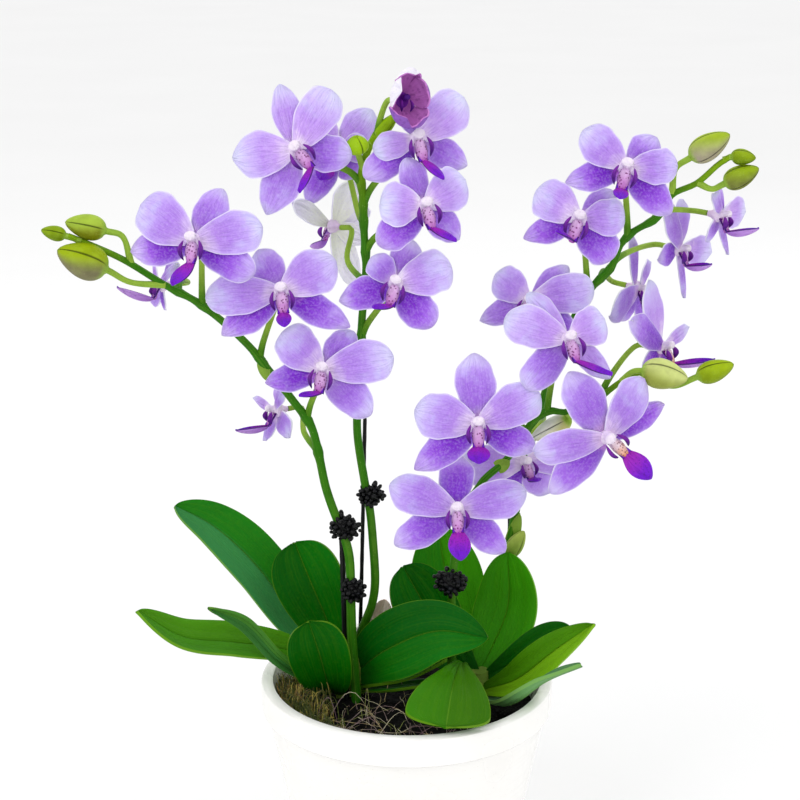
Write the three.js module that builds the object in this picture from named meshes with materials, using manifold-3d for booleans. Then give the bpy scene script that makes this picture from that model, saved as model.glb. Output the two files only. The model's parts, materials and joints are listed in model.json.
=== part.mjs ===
// Potted moth orchid: two plants in one plain round pot, four flower spikes, stakes and claw clips.
// Millimetres, +Z up. The origin is the centre of the pot's underside, and the front of the plant faces -Y.
import * as THREE from "three";
import { mergeVertices } from "three/addons/utils/BufferGeometryUtils.js";
import Module from "manifold-3d";

const wasm = await Module();
wasm.setup();

// Driving dimensions of the pot
const POT_HEIGHT = 105;
const MOUTH_RADIUS = 60;
const POT_WALL = 4.5;
const RIM_WALL = 5.5;
const RIM_DEPTH = 13;
const FOOT_RADIUS = 45;
const FLOOR_THICKNESS = 6;
const BAND_STEP = 3;
const BAND_CURVE = 2;
const EDGE_ROUNDING = 1.5;
const POT_SIDES = 28;
const FIT_GAP = 0.3;

// The potting medium
const MEDIUM_TOP = 90;
const MEDIUM_SWELL = 2.5;
const MEDIUM_ROUGHNESS = 1.3;
const MEDIUM_SIDES = 12;
const MEDIUM_RINGS = 3;
const MEDIUM_SEED = 7;
const HOLE_LENGTH = 40;
const HOLE_SIDES = 8;
const HOLE_EASE = 0.9;

// The eye that the plant is laid out from, and its picture, 800 pixels square, 1864 pixels to a unit of depth
const EYE = new THREE.Vector3(-3, -774, POT_HEIGHT + 351);
const EYE_DOWN = THREE.MathUtils.degToRad(16);
const PICTURE_CENTRE = 400;
const PICTURE_FOCUS = 1864;

// Bloom sizes, and the columns of the picture to a millimetre at the blooms
const SEPAL_LENGTH = 28;
const PETAL_LENGTH = 25.5;
const TEPAL_THICKNESS = 0.8;
const TEPAL_REACH = { least: 12, most: 33 };
const TEPAL_SPREAD = 1.7;
const TEPAL_END = { power: 2, squarerPower: 1.8, fullness: 0.7, squarer: 0.2, sharper: 0.25 };
const COLUMNS = 2.33;
const NECK_LENGTH = 5;
const NECK_RADIUS = 1.4;
const HUB_RADIUS = 3.6;
const HUB_HALF = 1.6;
const TEPAL_START = 2;
const LIP_WIDTH = 9.5;
const LIP_LENGTH = { least: 13, most: 18 };
const LIP_BEND = 1;
const LIP_THICKNESS = 1.2;
const LIP_START = { down: 9.4, ahead: 6 };
const LIP_DROOP = 0.35;
const LIP_STEEPEST = 0.94;
const LIP_UPTURN = 0.25;
const THROAT = { half: 1.8, down: 1, ahead: 1 };
const COLUMN = [
  { ahead: 5.2, lift: 1.5, radius: 2.3 },
  { ahead: 7.6, lift: 1.5, radius: 1.3 },
];
const LOBE_ROOT = 2.4;
const LOBE = { spread: 4.2, down: 3.6, ahead: 7.4 };
const CUP = { across: 8.5, upright: 12.5, depth: 9 };
const CUP_ROWS = [[-0.1, 0.2, 2.3], [0.3, 0.8, 6], [0.75, 1, 6.5]];
const CUP_TIP = [1.1, 0.75];
const PETAL_ANGLE = 70;
const LATERAL_ANGLE = 121;
const PEDICEL = {
  radius: 1.2, swell: 0.35, rise: 0.5, ahead: 7, aheadShare: 0.35, behind: 6, behindShare: 0.3,
};
const FLOWERING_SHARE = 0.7;
const BUD_FOOT = 1.15;
const BUD_PROFILE = [[0.16, 0.8], [0.45, 1], [0.8, 0.66], [1, 0.12]];
const BRACT = { thickness: 1, root: 0.5, widest: 0.6, shoulder: 0.4, leanBack: 0.2 };

// Leaf and stem sizes
const LEAF_THICKNESS = 1.6;
const LEAF_STATIONS = [0, 0.14, 0.36, 0.6, 0.82, 0.95];
const PETAL_STATIONS = [0, 0.3, 0.6, 0.86];
const SEPAL_STATIONS = [0, 0.42, 0.8];
const STEM_SIDES = 6;
const STEM_STEP = 16;
const STALK_SIDES = 4;
const STALK_STEPS = 4;
const BUD_SIDES = 5;
const STAKE_SIDES = 5;
const CROWN_RADIUS = 7;
const CROWN_SIDES = 8;
const CROWN_STEPS = 2;
const CROWN_TAPER = 0.35;
const CLIP_SEED = 11;
const CLIP_GAP = 0.6;
const CLIP_SPUR = 1;
const CLIP_HOLLOW = 0.55;
const CLIP_UNEVEN = 0.25;
const ROOT_DEPTH = 83;

// Colours
const COLOUR = {
  glaze: 0xf2f1ec,
  medium: 0x2a2118,
  crown: 0x3f6b1c,
  leaf: 0x0f6a14,
  stem: 0x3d7a14,
  dry: 0xd9c0a6,
  black: 0x141418,
  violet: 0xa98be6,
  magenta: 0x8a3fa8,
};

function finish(colour, roughness) {
  return new THREE.MeshStandardMaterial({ color: colour, roughness, metalness: 0 });
}

// The point at depth y that the eye sees at a column and row of its picture
function seen(column, row, y) {
  const right = (column - PICTURE_CENTRE) / PICTURE_FOCUS;
  const up = (PICTURE_CENTRE - row) / PICTURE_FOCUS;
  const cos = Math.cos(EYE_DOWN);
  const sin = Math.sin(EYE_DOWN);
  const sight = new THREE.Vector3(right, cos + up * sin, up * cos - sin);
  return EYE.clone().addScaledVector(sight, (y - EYE.y) / sight.y);
}

function seenAll(list) {
  return list.map(([column, row, y]) => seen(column, row, y));
}

// Where the sight line of a column and row meets the plane through a point
function seenOnPlane(column, row, point, normal) {
  const sight = seen(column, row, 0).sub(EYE);
  const reach = point.clone().sub(EYE).dot(normal) / sight.dot(normal);
  return EYE.clone().addScaledVector(sight, reach);
}

function smoothPath(points) {
  return new THREE.CatmullRomCurve3(points, false, "centripetal");
}

// The route of a thing that stands in the medium: its first point is set down to the foot of its hole
function standingPath(list) {
  const points = seenAll(list);
  points[0].z = ROOT_DEPTH;
  return smoothPath(points);
}

// The share of a curve's length that lies nearest to a point
function nearestOn(curve, point) {
  const steps = 200;
  let best = 0;
  let least = Infinity;
  for (let i = 0; i <= steps; i++) {
    const away = curve.getPointAt(i / steps).distanceTo(point);
    if (away < least) {
      least = away;
      best = i / steps;
    }
  }
  return best;
}

// Random numbers from 0 to 1, the same on each run
function seededDraws(seed) {
  let state = seed;
  return () => {
    state = (state * 1664525 + 1013904223) % 4294967296;
    return state / 4294967296;
  };
}

// How much of a direction's length the eye sees
function breadth(way) {
  const ahead = seen(PICTURE_CENTRE, PICTURE_CENTRE, 0).sub(EYE).normalize();
  return way.clone().addScaledVector(ahead, -way.dot(ahead)).length();
}

// A closed surface with its faces turned outwards
function shell(points, faces) {
  const triple = (a, b, c) => points[a].dot(new THREE.Vector3().crossVectors(points[b], points[c]));
  const volume = faces.reduce((sum, [a, b, c]) => sum + triple(a, b, c), 0);
  const outward = volume > 0 ? faces : faces.map(([a, b, c]) => [a, c, b]);
  const geometry = new THREE.BufferGeometry();
  const flat = points.flatMap((p) => [p.x, p.y, p.z]);
  geometry.setAttribute("position", new THREE.Float32BufferAttribute(flat, 3));
  geometry.setIndex(outward.flat());
  return geometry;
}

function merged(geometry) {
  const bare = geometry.clone();
  bare.deleteAttribute("normal");
  bare.deleteAttribute("uv");
  return mergeVertices(bare, 1e-3);
}

function solid(geometry) {
  const whole = merged(geometry);
  return new wasm.Manifold(
    new wasm.Mesh({
      numProp: 3,
      vertProperties: new Float32Array(whole.attributes.position.array),
      triVerts: new Uint32Array(whole.index.array),
    }),
  );
}

function geometryOf(body) {
  const mesh = body.getMesh();
  const geometry = new THREE.BufferGeometry();
  geometry.setAttribute("position", new THREE.BufferAttribute(mesh.vertProperties, 3));
  geometry.setIndex(new THREE.BufferAttribute(mesh.triVerts, 1));
  return geometry;
}

function join(geometries) {
  return geometryOf(geometries.map(solid).reduce((all, next) => all.add(next)));
}

// A closed blade: rows of points across, from its root to its tip, each row or each of its points with the
// way its face looks
function blade(rows, tip, thickness) {
  const across = rows[0].points.length;
  const points = [];
  const half = thickness / 2;
  for (const side of [half, -half]) {
    for (const row of rows) {
      row.points.forEach((p, c) => {
        points.push(p.clone().addScaledVector(row.faces ? row.faces[c] : row.face, side));
      });
    }
    points.push(tip.point.clone().addScaledVector(tip.face, side));
  }
  const sheet = rows.length * across + 1;
  const at = (r, c) => r * across + c;
  const last = sheet - 1;
  const top = [];
  for (let r = 0; r + 1 < rows.length; r++) {
    for (let c = 0; c + 1 < across; c++) {
      top.push([at(r, c), at(r, c + 1), at(r + 1, c + 1)]);
      top.push([at(r, c), at(r + 1, c + 1), at(r + 1, c)]);
    }
  }
  for (let c = 0; c + 1 < across; c++) {
    top.push([at(rows.length - 1, c), at(rows.length - 1, c + 1), last]);
  }
  const edge = [];
  for (let c = 0; c < across; c++) edge.push(at(0, c));
  for (let r = 1; r < rows.length; r++) edge.push(at(r, across - 1));
  edge.push(last);
  for (let r = rows.length - 1; r > 0; r--) edge.push(at(r, 0));
  const faces = top.slice();
  for (const [a, b, c] of top) faces.push([a + sheet, c + sheet, b + sheet]);
  edge.forEach((a, i) => {
    const b = edge[(i + 1) % edge.length];
    faces.push([a, a + sheet, b + sheet], [a, b + sheet, b]);
  });
  return shell(points, faces);
}

// Half of a blade's width at a share s of its length, as a share of its widest
function outline(s, root, widest, fullness, spread = 1) {
  if (s < widest) return root + (1 - root) * Math.pow(Math.sin(((Math.PI / 2) * s) / widest), spread);
  const past = (s - widest) / (1 - widest);
  return Math.pow(Math.max(0, 1 - past * past), fullness);
}

// The faces between rings of points and over both ends
function tubeFaces(steps, sides) {
  const faces = [];
  for (let i = 0; i < steps; i++) {
    for (let k = 0; k < sides; k++) {
      const a = i * sides + k;
      const b = i * sides + ((k + 1) % sides);
      faces.push([a, b, b + sides], [a, b + sides, a + sides]);
    }
  }
  const end = steps * sides;
  for (let k = 1; k + 1 < sides; k++) {
    faces.push([0, k + 1, k], [end, end + k, end + k + 1]);
  }
  return faces;
}

// A closed round tube along a curve: rings are given as a share of its length and a radius
function ringed(curve, rings, sides) {
  const points = [];
  let normal = new THREE.Vector3(0.3, 1, 0.2);
  for (const [share, radius] of rings) {
    const centre = curve.getPointAt(share);
    const along = curve.getTangentAt(share);
    normal = normal.clone().addScaledVector(along, -normal.dot(along)).normalize();
    const across = new THREE.Vector3().crossVectors(along, normal);
    for (let k = 0; k < sides; k++) {
      const angle = (2 * Math.PI * k) / sides;
      const reach = normal.clone().multiplyScalar(Math.cos(angle)).addScaledVector(across, Math.sin(angle));
      points.push(centre.clone().addScaledVector(reach, radius));
    }
  }
  return shell(points, tubeFaces(rings.length - 1, sides));
}

// A closed round tube in even steps, with a radius for each share of its length
function tube(curve, radiusAt, sides, steps) {
  const rings = Array.from({ length: steps + 1 }, (_, i) => [i / steps, radiusAt(i / steps)]);
  return ringed(curve, rings, sides);
}

// The pot: a plain round one with a band round its mouth and a flat foot
function pot() {
  const band = MOUTH_RADIUS + RIM_WALL;
  const under = POT_HEIGHT - RIM_DEPTH;
  const profile = [
    [0, 0],
    [FOOT_RADIUS - EDGE_ROUNDING, 0],
    [FOOT_RADIUS, EDGE_ROUNDING],
    [band - BAND_STEP, under - BAND_CURVE],
    [band - EDGE_ROUNDING / 2, under],
    [band, POT_HEIGHT - EDGE_ROUNDING],
    [band - EDGE_ROUNDING, POT_HEIGHT],
    [MOUTH_RADIUS + EDGE_ROUNDING / 2, POT_HEIGHT],
    [MOUTH_RADIUS, POT_HEIGHT - EDGE_ROUNDING / 2],
    [band - BAND_STEP - POT_WALL, under - 2 * BAND_CURVE],
    [FOOT_RADIUS - POT_WALL, FLOOR_THICKNESS],
    [0, FLOOR_THICKNESS],
  ];
  return new THREE.LatheGeometry(
    profile.map(([radius, height]) => new THREE.Vector2(radius, height)),
    POT_SIDES,
  ).rotateX(Math.PI / 2);
}

function mediumRadius(height) {
  const top = POT_HEIGHT - RIM_DEPTH - 2 * BAND_CURVE;
  const share = (height - FLOOR_THICKNESS) / (top - FLOOR_THICKNESS);
  const foot = FOOT_RADIUS - POT_WALL;
  const mouth = MOUTH_RADIUS + RIM_WALL - BAND_STEP - POT_WALL;
  const flat = Math.cos(Math.PI / POT_SIDES);
  return THREE.MathUtils.lerp(foot, mouth, Math.min(1, share)) * flat - FIT_GAP;
}

// The medium fills the pot, with a low rough swell on top, and a plain hole for each thing that stands in it
function medium(standing) {
  const draw = seededDraws(MEDIUM_SEED);
  const points = [new THREE.Vector3(0, 0, FLOOR_THICKNESS + FIT_GAP)];
  const heights = [FLOOR_THICKNESS + FIT_GAP, POT_HEIGHT - RIM_DEPTH - 2 * BAND_CURVE, MEDIUM_TOP - 1];
  const ringOf = (radius, heightAt) => {
    const first = points.length;
    for (let k = 0; k < MEDIUM_SIDES; k++) {
      const angle = (2 * Math.PI * k) / MEDIUM_SIDES;
      const reach = new THREE.Vector3(Math.cos(angle), Math.sin(angle), 0).multiplyScalar(radius);
      points.push(reach.setZ(heightAt()));
    }
    return first;
  };
  const rings = heights.map((height) => ringOf(mediumRadius(height), () => height));
  for (let ring = MEDIUM_RINGS; ring >= 1; ring--) {
    const share = ring / (MEDIUM_RINGS + 1);
    const swell = MEDIUM_TOP + MEDIUM_SWELL * (1 - share * share);
    rings.push(ringOf(mediumRadius(MEDIUM_TOP) * share, () => swell + (draw() - 0.5) * 2 * MEDIUM_ROUGHNESS));
  }
  points.push(new THREE.Vector3(0, 0, MEDIUM_TOP + MEDIUM_SWELL));
  const faces = [];
  for (let k = 0; k < MEDIUM_SIDES; k++) {
    const next = (k + 1) % MEDIUM_SIDES;
    faces.push([0, rings[0] + next, rings[0] + k]);
    for (let r = 0; r + 1 < rings.length; r++) {
      faces.push([rings[r] + k, rings[r] + next, rings[r + 1] + next]);
      faces.push([rings[r] + k, rings[r + 1] + next, rings[r + 1] + k]);
    }
    faces.push([rings[rings.length - 1] + k, rings[rings.length - 1] + next, points.length - 1]);
  }
  const holes = standing.map(({ point, radius }) =>
    solid(
      new THREE.CylinderGeometry(radius + FIT_GAP, radius + FIT_GAP, HOLE_LENGTH, HOLE_SIDES)
        .rotateX(Math.PI / 2)
        .translate(point.x, point.y, ROOT_DEPTH - FIT_GAP + HOLE_LENGTH / 2),
    ),
  );
  return geometryOf(holes.reduce((body, hole) => body.subtract(hole), solid(shell(points, faces))));
}

// The short stem that a plant's leaves clasp, grown by a margin where a leaf is cut back from it
function crown({ at, top }, margin) {
  const foot = new THREE.Vector3(at.x, at.y, ROOT_DEPTH);
  const tip = new THREE.Vector3(at.x, at.y, top + margin);
  const radiusAt = (s) => CROWN_RADIUS * (1 - CROWN_TAPER * s * s) + margin;
  return tube(new THREE.LineCurve3(foot, tip), radiusAt, CROWN_SIDES, CROWN_STEPS);
}

// A strap leaf with a shallow channel along its rib, cut back from the crown that it clasps
function leaf({ on, rib, face, width, fold = 0.25, root = 0.32, widest = 0.62, tip = 0.5, spread = 1 }) {
  const curve = smoothPath(seenAll(rib));
  const look = new THREE.Vector3(...face).normalize();
  const frameAt = (s) => {
    const along = curve.getTangentAt(s);
    const up = look.clone().addScaledVector(along, -look.dot(along)).normalize();
    const side = new THREE.Vector3().crossVectors(along, up);
    return { up, side, centre: curve.getPointAt(s) };
  };
  const rows = LEAF_STATIONS.map((s) => {
    const { up, side, centre } = frameAt(s);
    const half = (width / 2) * outline(s, root, widest, tip, spread);
    const raise = half * fold;
    const edge = (way) => centre.clone().addScaledVector(side, way * half).addScaledVector(up, raise);
    return { points: [edge(-1), centre.clone(), edge(1)], face: up };
  });
  const end = frameAt(1);
  const body = solid(blade(rows, { point: end.centre, face: end.up }, LEAF_THICKNESS));
  return geometryOf(body.subtract(solid(crown(CROWNS[on], FIT_GAP))));
}

// The bloom's own frame: x to its right as it is looked at, y towards its dorsal sepal, z the way it faces
function bloomFrame({ at, y, turn, tilt, roll }) {
  const around = THREE.MathUtils.degToRad(turn);
  const raised = THREE.MathUtils.degToRad(tilt);
  const rolled = THREE.MathUtils.degToRad(roll);
  const facing = new THREE.Vector3(
    Math.sin(around) * Math.cos(raised),
    -Math.cos(around) * Math.cos(raised),
    Math.sin(raised),
  );
  const level = new THREE.Vector3(Math.cos(around), Math.sin(around), 0);
  const upright = new THREE.Vector3().crossVectors(facing, level);
  const up = leant(upright, level, rolled);
  const right = new THREE.Vector3().crossVectors(up, facing);
  const centre = seen(at[0], at[1], y);
  return { centre, right, up, facing, level, upright };
}

// A direction that starts along one unit vector and leans towards another by an angle
function leant(from, towards, angle) {
  return from.clone().multiplyScalar(Math.cos(angle)).addScaledVector(towards, Math.sin(angle));
}

function inFrame(frame, x, y, z) {
  return frame.centre
    .clone()
    .addScaledVector(frame.right, x)
    .addScaledVector(frame.up, y)
    .addScaledVector(frame.facing, z);
}

// Where a tepal points: by the picture where its tip was measured, else by the usual angle and length
function tepalReach(frame, roll, tip, usualAngle, usualLength) {
  if (!tip) return { angle: usualAngle, length: usualLength };
  const point = seenOnPlane(tip[0], tip[1], frame.centre, frame.facing).sub(frame.centre);
  const angle = THREE.MathUtils.radToDeg(Math.atan2(point.dot(frame.level), point.dot(frame.upright)));
  const length = THREE.MathUtils.clamp(point.length(), TEPAL_REACH.least, TEPAL_REACH.most);
  return { angle: angle - roll, length };
}

// Half of a tepal's width at a share s of its length, as a share of its widest. Its end is round at 0, square
// at 1 and pointed below 0.
function tepalOutline(s, { root, widest }, end) {
  if (s < widest) return root + (1 - root) * (1 - Math.pow(1 - s / widest, TEPAL_SPREAD));
  const past = (s - widest) / (1 - widest);
  const square = Math.max(end, 0);
  const power = TEPAL_END.power + TEPAL_END.squarerPower * square;
  const pointed = TEPAL_END.sharper * Math.max(-end, 0);
  const fullness = TEPAL_END.fullness - TEPAL_END.squarer * square + pointed;
  return Math.pow(Math.max(0, 1 - Math.pow(past, power)), fullness);
}

// A tepal is measured by its tip's column and row, its width in columns and how square its end is
function tepal(frame, { angle, length }, measured, shape) {
  const turned = THREE.MathUtils.degToRad(angle);
  const along = new THREE.Vector2(Math.sin(turned), Math.cos(turned));
  const side = new THREE.Vector2(along.y, -along.x);
  const sideways = frame.right.clone().multiplyScalar(side.x).addScaledVector(frame.up, side.y);
  const [, , columns, end = shape.end] = measured ?? [];
  const width = columns ? columns / COLUMNS / breadth(sideways) : shape.width;
  const place = (s, offset) => {
    const reach = TEPAL_START + s * (length - TEPAL_START);
    const depth = shape.layer + shape.bend * s * s;
    return inFrame(frame, along.x * reach + side.x * offset, along.y * reach + side.y * offset, depth);
  };
  const rows = shape.stations.map((s) => {
    const half = (width / 2) * tepalOutline(s, shape, end);
    return { points: [place(s, half), place(s, -half)], face: frame.facing };
  });
  return blade(rows, { point: place(1, 0), face: frame.facing }, TEPAL_THICKNESS);
}

const DORSAL = {
  width: 16, length: SEPAL_LENGTH, root: 0.32, widest: 0.54, end: 0.1, layer: -1, bend: -1.5,
  stations: SEPAL_STATIONS,
};
const LATERAL = {
  width: 15, length: SEPAL_LENGTH, root: 0.48, widest: 0.46, end: 0, layer: -1, bend: -1.5,
  stations: SEPAL_STATIONS,
};
const PETAL = {
  width: 18, length: PETAL_LENGTH, root: 0.36, widest: 0.58, end: 0.4, layer: 1, bend: -0.8,
  stations: PETAL_STATIONS,
};

// Where the middle lobe starts and how it reaches, by the picture where its tip was measured
function lipReach(frame, tip, heart) {
  const start = inFrame(frame, 0, -LIP_START.down * heart, LIP_START.ahead * heart);
  const least = LIP_LENGTH.least * heart;
  if (!tip) {
    const reach = frame.facing.clone().addScaledVector(frame.up, -LIP_DROOP);
    return { start, reach: reach.setLength(least) };
  }
  const sight = seen(tip[0], tip[1], 0).sub(EYE).normalize();
  const away = start.clone().sub(EYE);
  const miss = away.clone().addScaledVector(sight, -away.dot(sight)).length();
  const length = Math.min(LIP_LENGTH.most, Math.max(least, miss / LIP_STEEPEST));
  const near = away.dot(sight) - Math.sqrt(Math.max(0, length * length - miss * miss));
  const reach = sight.multiplyScalar(near).sub(away);
  return { start, reach: reach.setLength(length) };
}

// The lip: a throat with an upright lobe on either side, and a pointed middle lobe reaching forward
function lip(frame, tip, heart) {
  const { start, reach } = lipReach(frame, tip, heart);
  const forward = reach.clone().normalize();
  const upward = frame.up.clone().addScaledVector(frame.facing, LIP_UPTURN);
  const face = upward.addScaledVector(forward, -upward.dot(forward)).normalize();
  const side = new THREE.Vector3().crossVectors(forward, face);
  if (side.dot(frame.right) < 0) side.negate();
  const [, , share = heart] = tip ?? [];
  const along = (s) => start.clone().addScaledVector(reach, s).addScaledVector(face, -LIP_BEND * s * s);
  const inward = [frame.right, frame.right.clone().negate()];
  const throat = {
    points: [-1, -0.5, 0.5, 1].map((part) => {
      return inFrame(frame, part * THROAT.half, -THROAT.down, THROAT.ahead);
    }),
    face: frame.facing,
  };
  const spread = LOBE.spread * heart;
  const root = LOBE_ROOT * heart;
  const lobes = {
    points: [
      inFrame(frame, -spread, -LOBE.down * heart, LOBE.ahead * heart),
      start.clone().addScaledVector(side, -root),
      start.clone().addScaledVector(side, root),
      inFrame(frame, spread, -LOBE.down * heart, LOBE.ahead * heart),
    ],
    faces: [inward[0], face, face, inward[1]],
  };
  const widest = {
    points: [-0.5, -0.2, 0.2, 0.5].map((part) => along(0.5).addScaledVector(side, part * LIP_WIDTH * share)),
    face,
  };
  return blade([throat, lobes, widest], { point: along(1), face }, LIP_THICKNESS);
}

// The neck behind a bloom, the hub that its tepals are sunk in, one to a side, and the column before it
function column(frame, angles, heart) {
  const turns = angles.map((angle) => (angle + 360) % 360).sort((a, b) => a - b);
  const corners = turns.map((angle, i) => {
    const next = i + 1 < turns.length ? turns[i + 1] : turns[0] + 360;
    return THREE.MathUtils.degToRad((angle + next) / 2);
  });
  const ends = [
    [0, -NECK_LENGTH, NECK_RADIUS],
    [0, -HUB_HALF, HUB_RADIUS],
    [0, HUB_HALF, HUB_RADIUS],
    ...COLUMN.map(({ lift, ahead, radius }) => [lift * heart, ahead * heart, radius * heart]),
  ];
  const points = ends.flatMap(([y, z, radius]) =>
    corners.map((angle) => inFrame(frame, Math.sin(angle) * radius, y + Math.cos(angle) * radius, z)),
  );
  return shell(points, tubeFaces(ends.length - 1, corners.length));
}

function bloom(spec) {
  const frame = bloomFrame(spec);
  const { heart = 1 } = spec;
  const tepals = [
    { measured: spec.dorsal, shape: DORSAL, usual: 0 },
    { measured: spec.petalRight, shape: PETAL, usual: PETAL_ANGLE },
    { measured: spec.sepalRight, shape: LATERAL, usual: LATERAL_ANGLE },
    { measured: spec.sepalLeft, shape: LATERAL, usual: -LATERAL_ANGLE },
    { measured: spec.petalLeft, shape: PETAL, usual: -PETAL_ANGLE },
  ];
  const reaches = tepals.map(({ measured, shape, usual }) =>
    tepalReach(frame, spec.roll, measured, usual, shape.length),
  );
  const angles = reaches.map(({ angle }) => angle);
  return join([
    column(frame, angles, heart),
    ...tepals.map(({ measured, shape }, i) => tepal(frame, reaches[i], measured, shape)),
    lip(frame, spec.lip, heart),
  ]);
}

// A bloom that has only begun to open: a tall cup of five tepals
function cupBloom(spec) {
  const frame = bloomFrame(spec);
  const spokes = [0, 72, 144, 216, 288];
  const tepals = spokes.map((degrees) => {
    const turned = THREE.MathUtils.degToRad(degrees);
    const out = new THREE.Vector2(Math.sin(turned), Math.cos(turned));
    const face = frame.right.clone().multiplyScalar(out.x).addScaledVector(frame.up, out.y);
    const point = (s, radius, aside) =>
      inFrame(
        frame,
        out.x * radius * CUP.across - out.y * aside,
        out.y * radius * CUP.upright + out.x * aside,
        s * CUP.depth,
      );
    const row = (s, radius, half) => ({ points: [point(s, radius, half), point(s, radius, -half)], face });
    const rows = CUP_ROWS.map(([s, radius, half]) => row(s, radius, half));
    return blade(rows, { point: point(...CUP_TIP, 0), face }, TEPAL_THICKNESS);
  });
  return join([column(frame, spokes, spec.heart), ...tepals]);
}

// The flower spikes: route from the root to the tip, as column, row and depth y
const SPIKES = {
  left: {
    route: [
      [357, 706, 0], [356, 690, 0], [352, 640, 0], [351, 606, 0], [349, 555, 0], [343, 533, 0],
      [335, 514, 0], [326, 488, 0], [319, 456, -1], [311, 426, -2], [294, 402, -3], [271, 373, -4],
      [246, 343, -5], [200, 304, -8], [165, 285, -10], [122, 259, -13], [81, 241, -16], [68, 236, -17],
    ],
    thick: 2.3,
    thin: 1.3,
    buds: [
      { from: [81, 241, -16], at: [66, 236, -17], tip: [41, 230, -18], radius: 3.2 },
      { from: [131, 263, -12], via: [122, 236, -13], at: [106, 231, -14], tip: [65, 222, -15], radius: 5.4 },
      { from: [165, 285, -10], via: [130, 282, -14], at: [107, 270, -18], tip: [57, 250, -20], radius: 7.6 },
    ],
    bracts: [{ from: [262, 362, -4], tip: [268, 381, -7], width: 5 }],
  },
  middle: {
    route: [
      [349, 700, 19.5], [350, 686, 19.5], [351, 675, 19], [358, 640, 17], [366, 620, 14], [372, 604, 12],
      [375, 584, 10], [373, 542, 7], [370, 511, 6], [364, 478, 5], [358, 440, 3], [357, 420, 2],
      [361, 340, 1], [362, 319, 1], [366, 268, 1], [364, 230, 1], [363, 198, 1], [361, 179, 1],
      [364, 161, 0], [372, 142, 0], [377, 135, -1],
    ],
    thick: 2.1,
    thin: 1.5,
    buds: [
      { from: [371, 143, 0], at: [376, 137, -1], tip: [398, 113, -3], radius: 2.9 },
      { from: [363, 168, 0], via: [360, 160, -3], at: [358, 152, -6], tip: [356, 136, -9], radius: 4.9 },
    ],
    bracts: [],
  },
  right: {
    route: [
      [485, 690, 21], [485.4, 676, 21.6], [489, 655, 29], [498, 625, 39], [503, 590, 43], [507, 560, 44],
      [511, 535, 42], [518, 500, 39], [528, 455, 38], [541, 405, 35], [553, 370, 27], [568, 330, 18],
      [590, 290, 8], [612, 266, 2], [621, 244, 1], [633, 232, 0], [659, 216, -2], [672, 195, -4],
      [697, 183, -6], [719, 164, -8], [730, 157, -9],
    ],
    thick: 2.3,
    thin: 1.2,
    buds: [
      { from: [724, 160, -8], at: [731, 157, -9], tip: [756, 158, -11], radius: 3.4 },
      { from: [672, 193, -4], via: [676, 168, -6], at: [690, 158, -7], tip: [730, 134, -9], radius: 5.6 },
      { from: [698, 183, -6], via: [712, 189, -8], at: [724, 184, -9], tip: [759, 168, -11], radius: 4.8 },
      { from: [505, 568, 43.5], at: [509, 556, 40], tip: [524, 531, 36], radius: 4 },
    ],
    bracts: [{ from: [510, 546, 43], tip: [520, 513, 37], width: 7 }],
  },
  low: {
    route: [
      [451, 692, 3], [451, 676, 3], [452, 655, 2], [452, 625, 1], [452, 590, 1], [456, 550, 2],
      [468, 512, 1], [482, 482, 0], [504, 462, 1], [520, 442, 2], [534, 420, 1], [548, 411, 0],
      [566, 412, -1], [588, 404, -2], [604, 394, -4], [622, 381, -6], [640, 372, -8],
    ],
    thick: 2.1,
    thin: 1.2,
    buds: [
      { from: [622, 381, -6], via: [632, 372, -9], at: [642, 371, -12], tip: [688, 379, -16], radius: 6.6 },
      { from: [640, 372, -8], via: [672, 386, -6], at: [697, 377, -7], tip: [734, 364, -9], radius: 4.9 },
      { from: [566, 412, -1], at: [569, 418, 4], tip: [531, 439, 6], radius: 4.6 },
    ],
    bracts: [{ from: [497, 468, 1], tip: [510, 461, -2], width: 7 }],
  },
};

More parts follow.
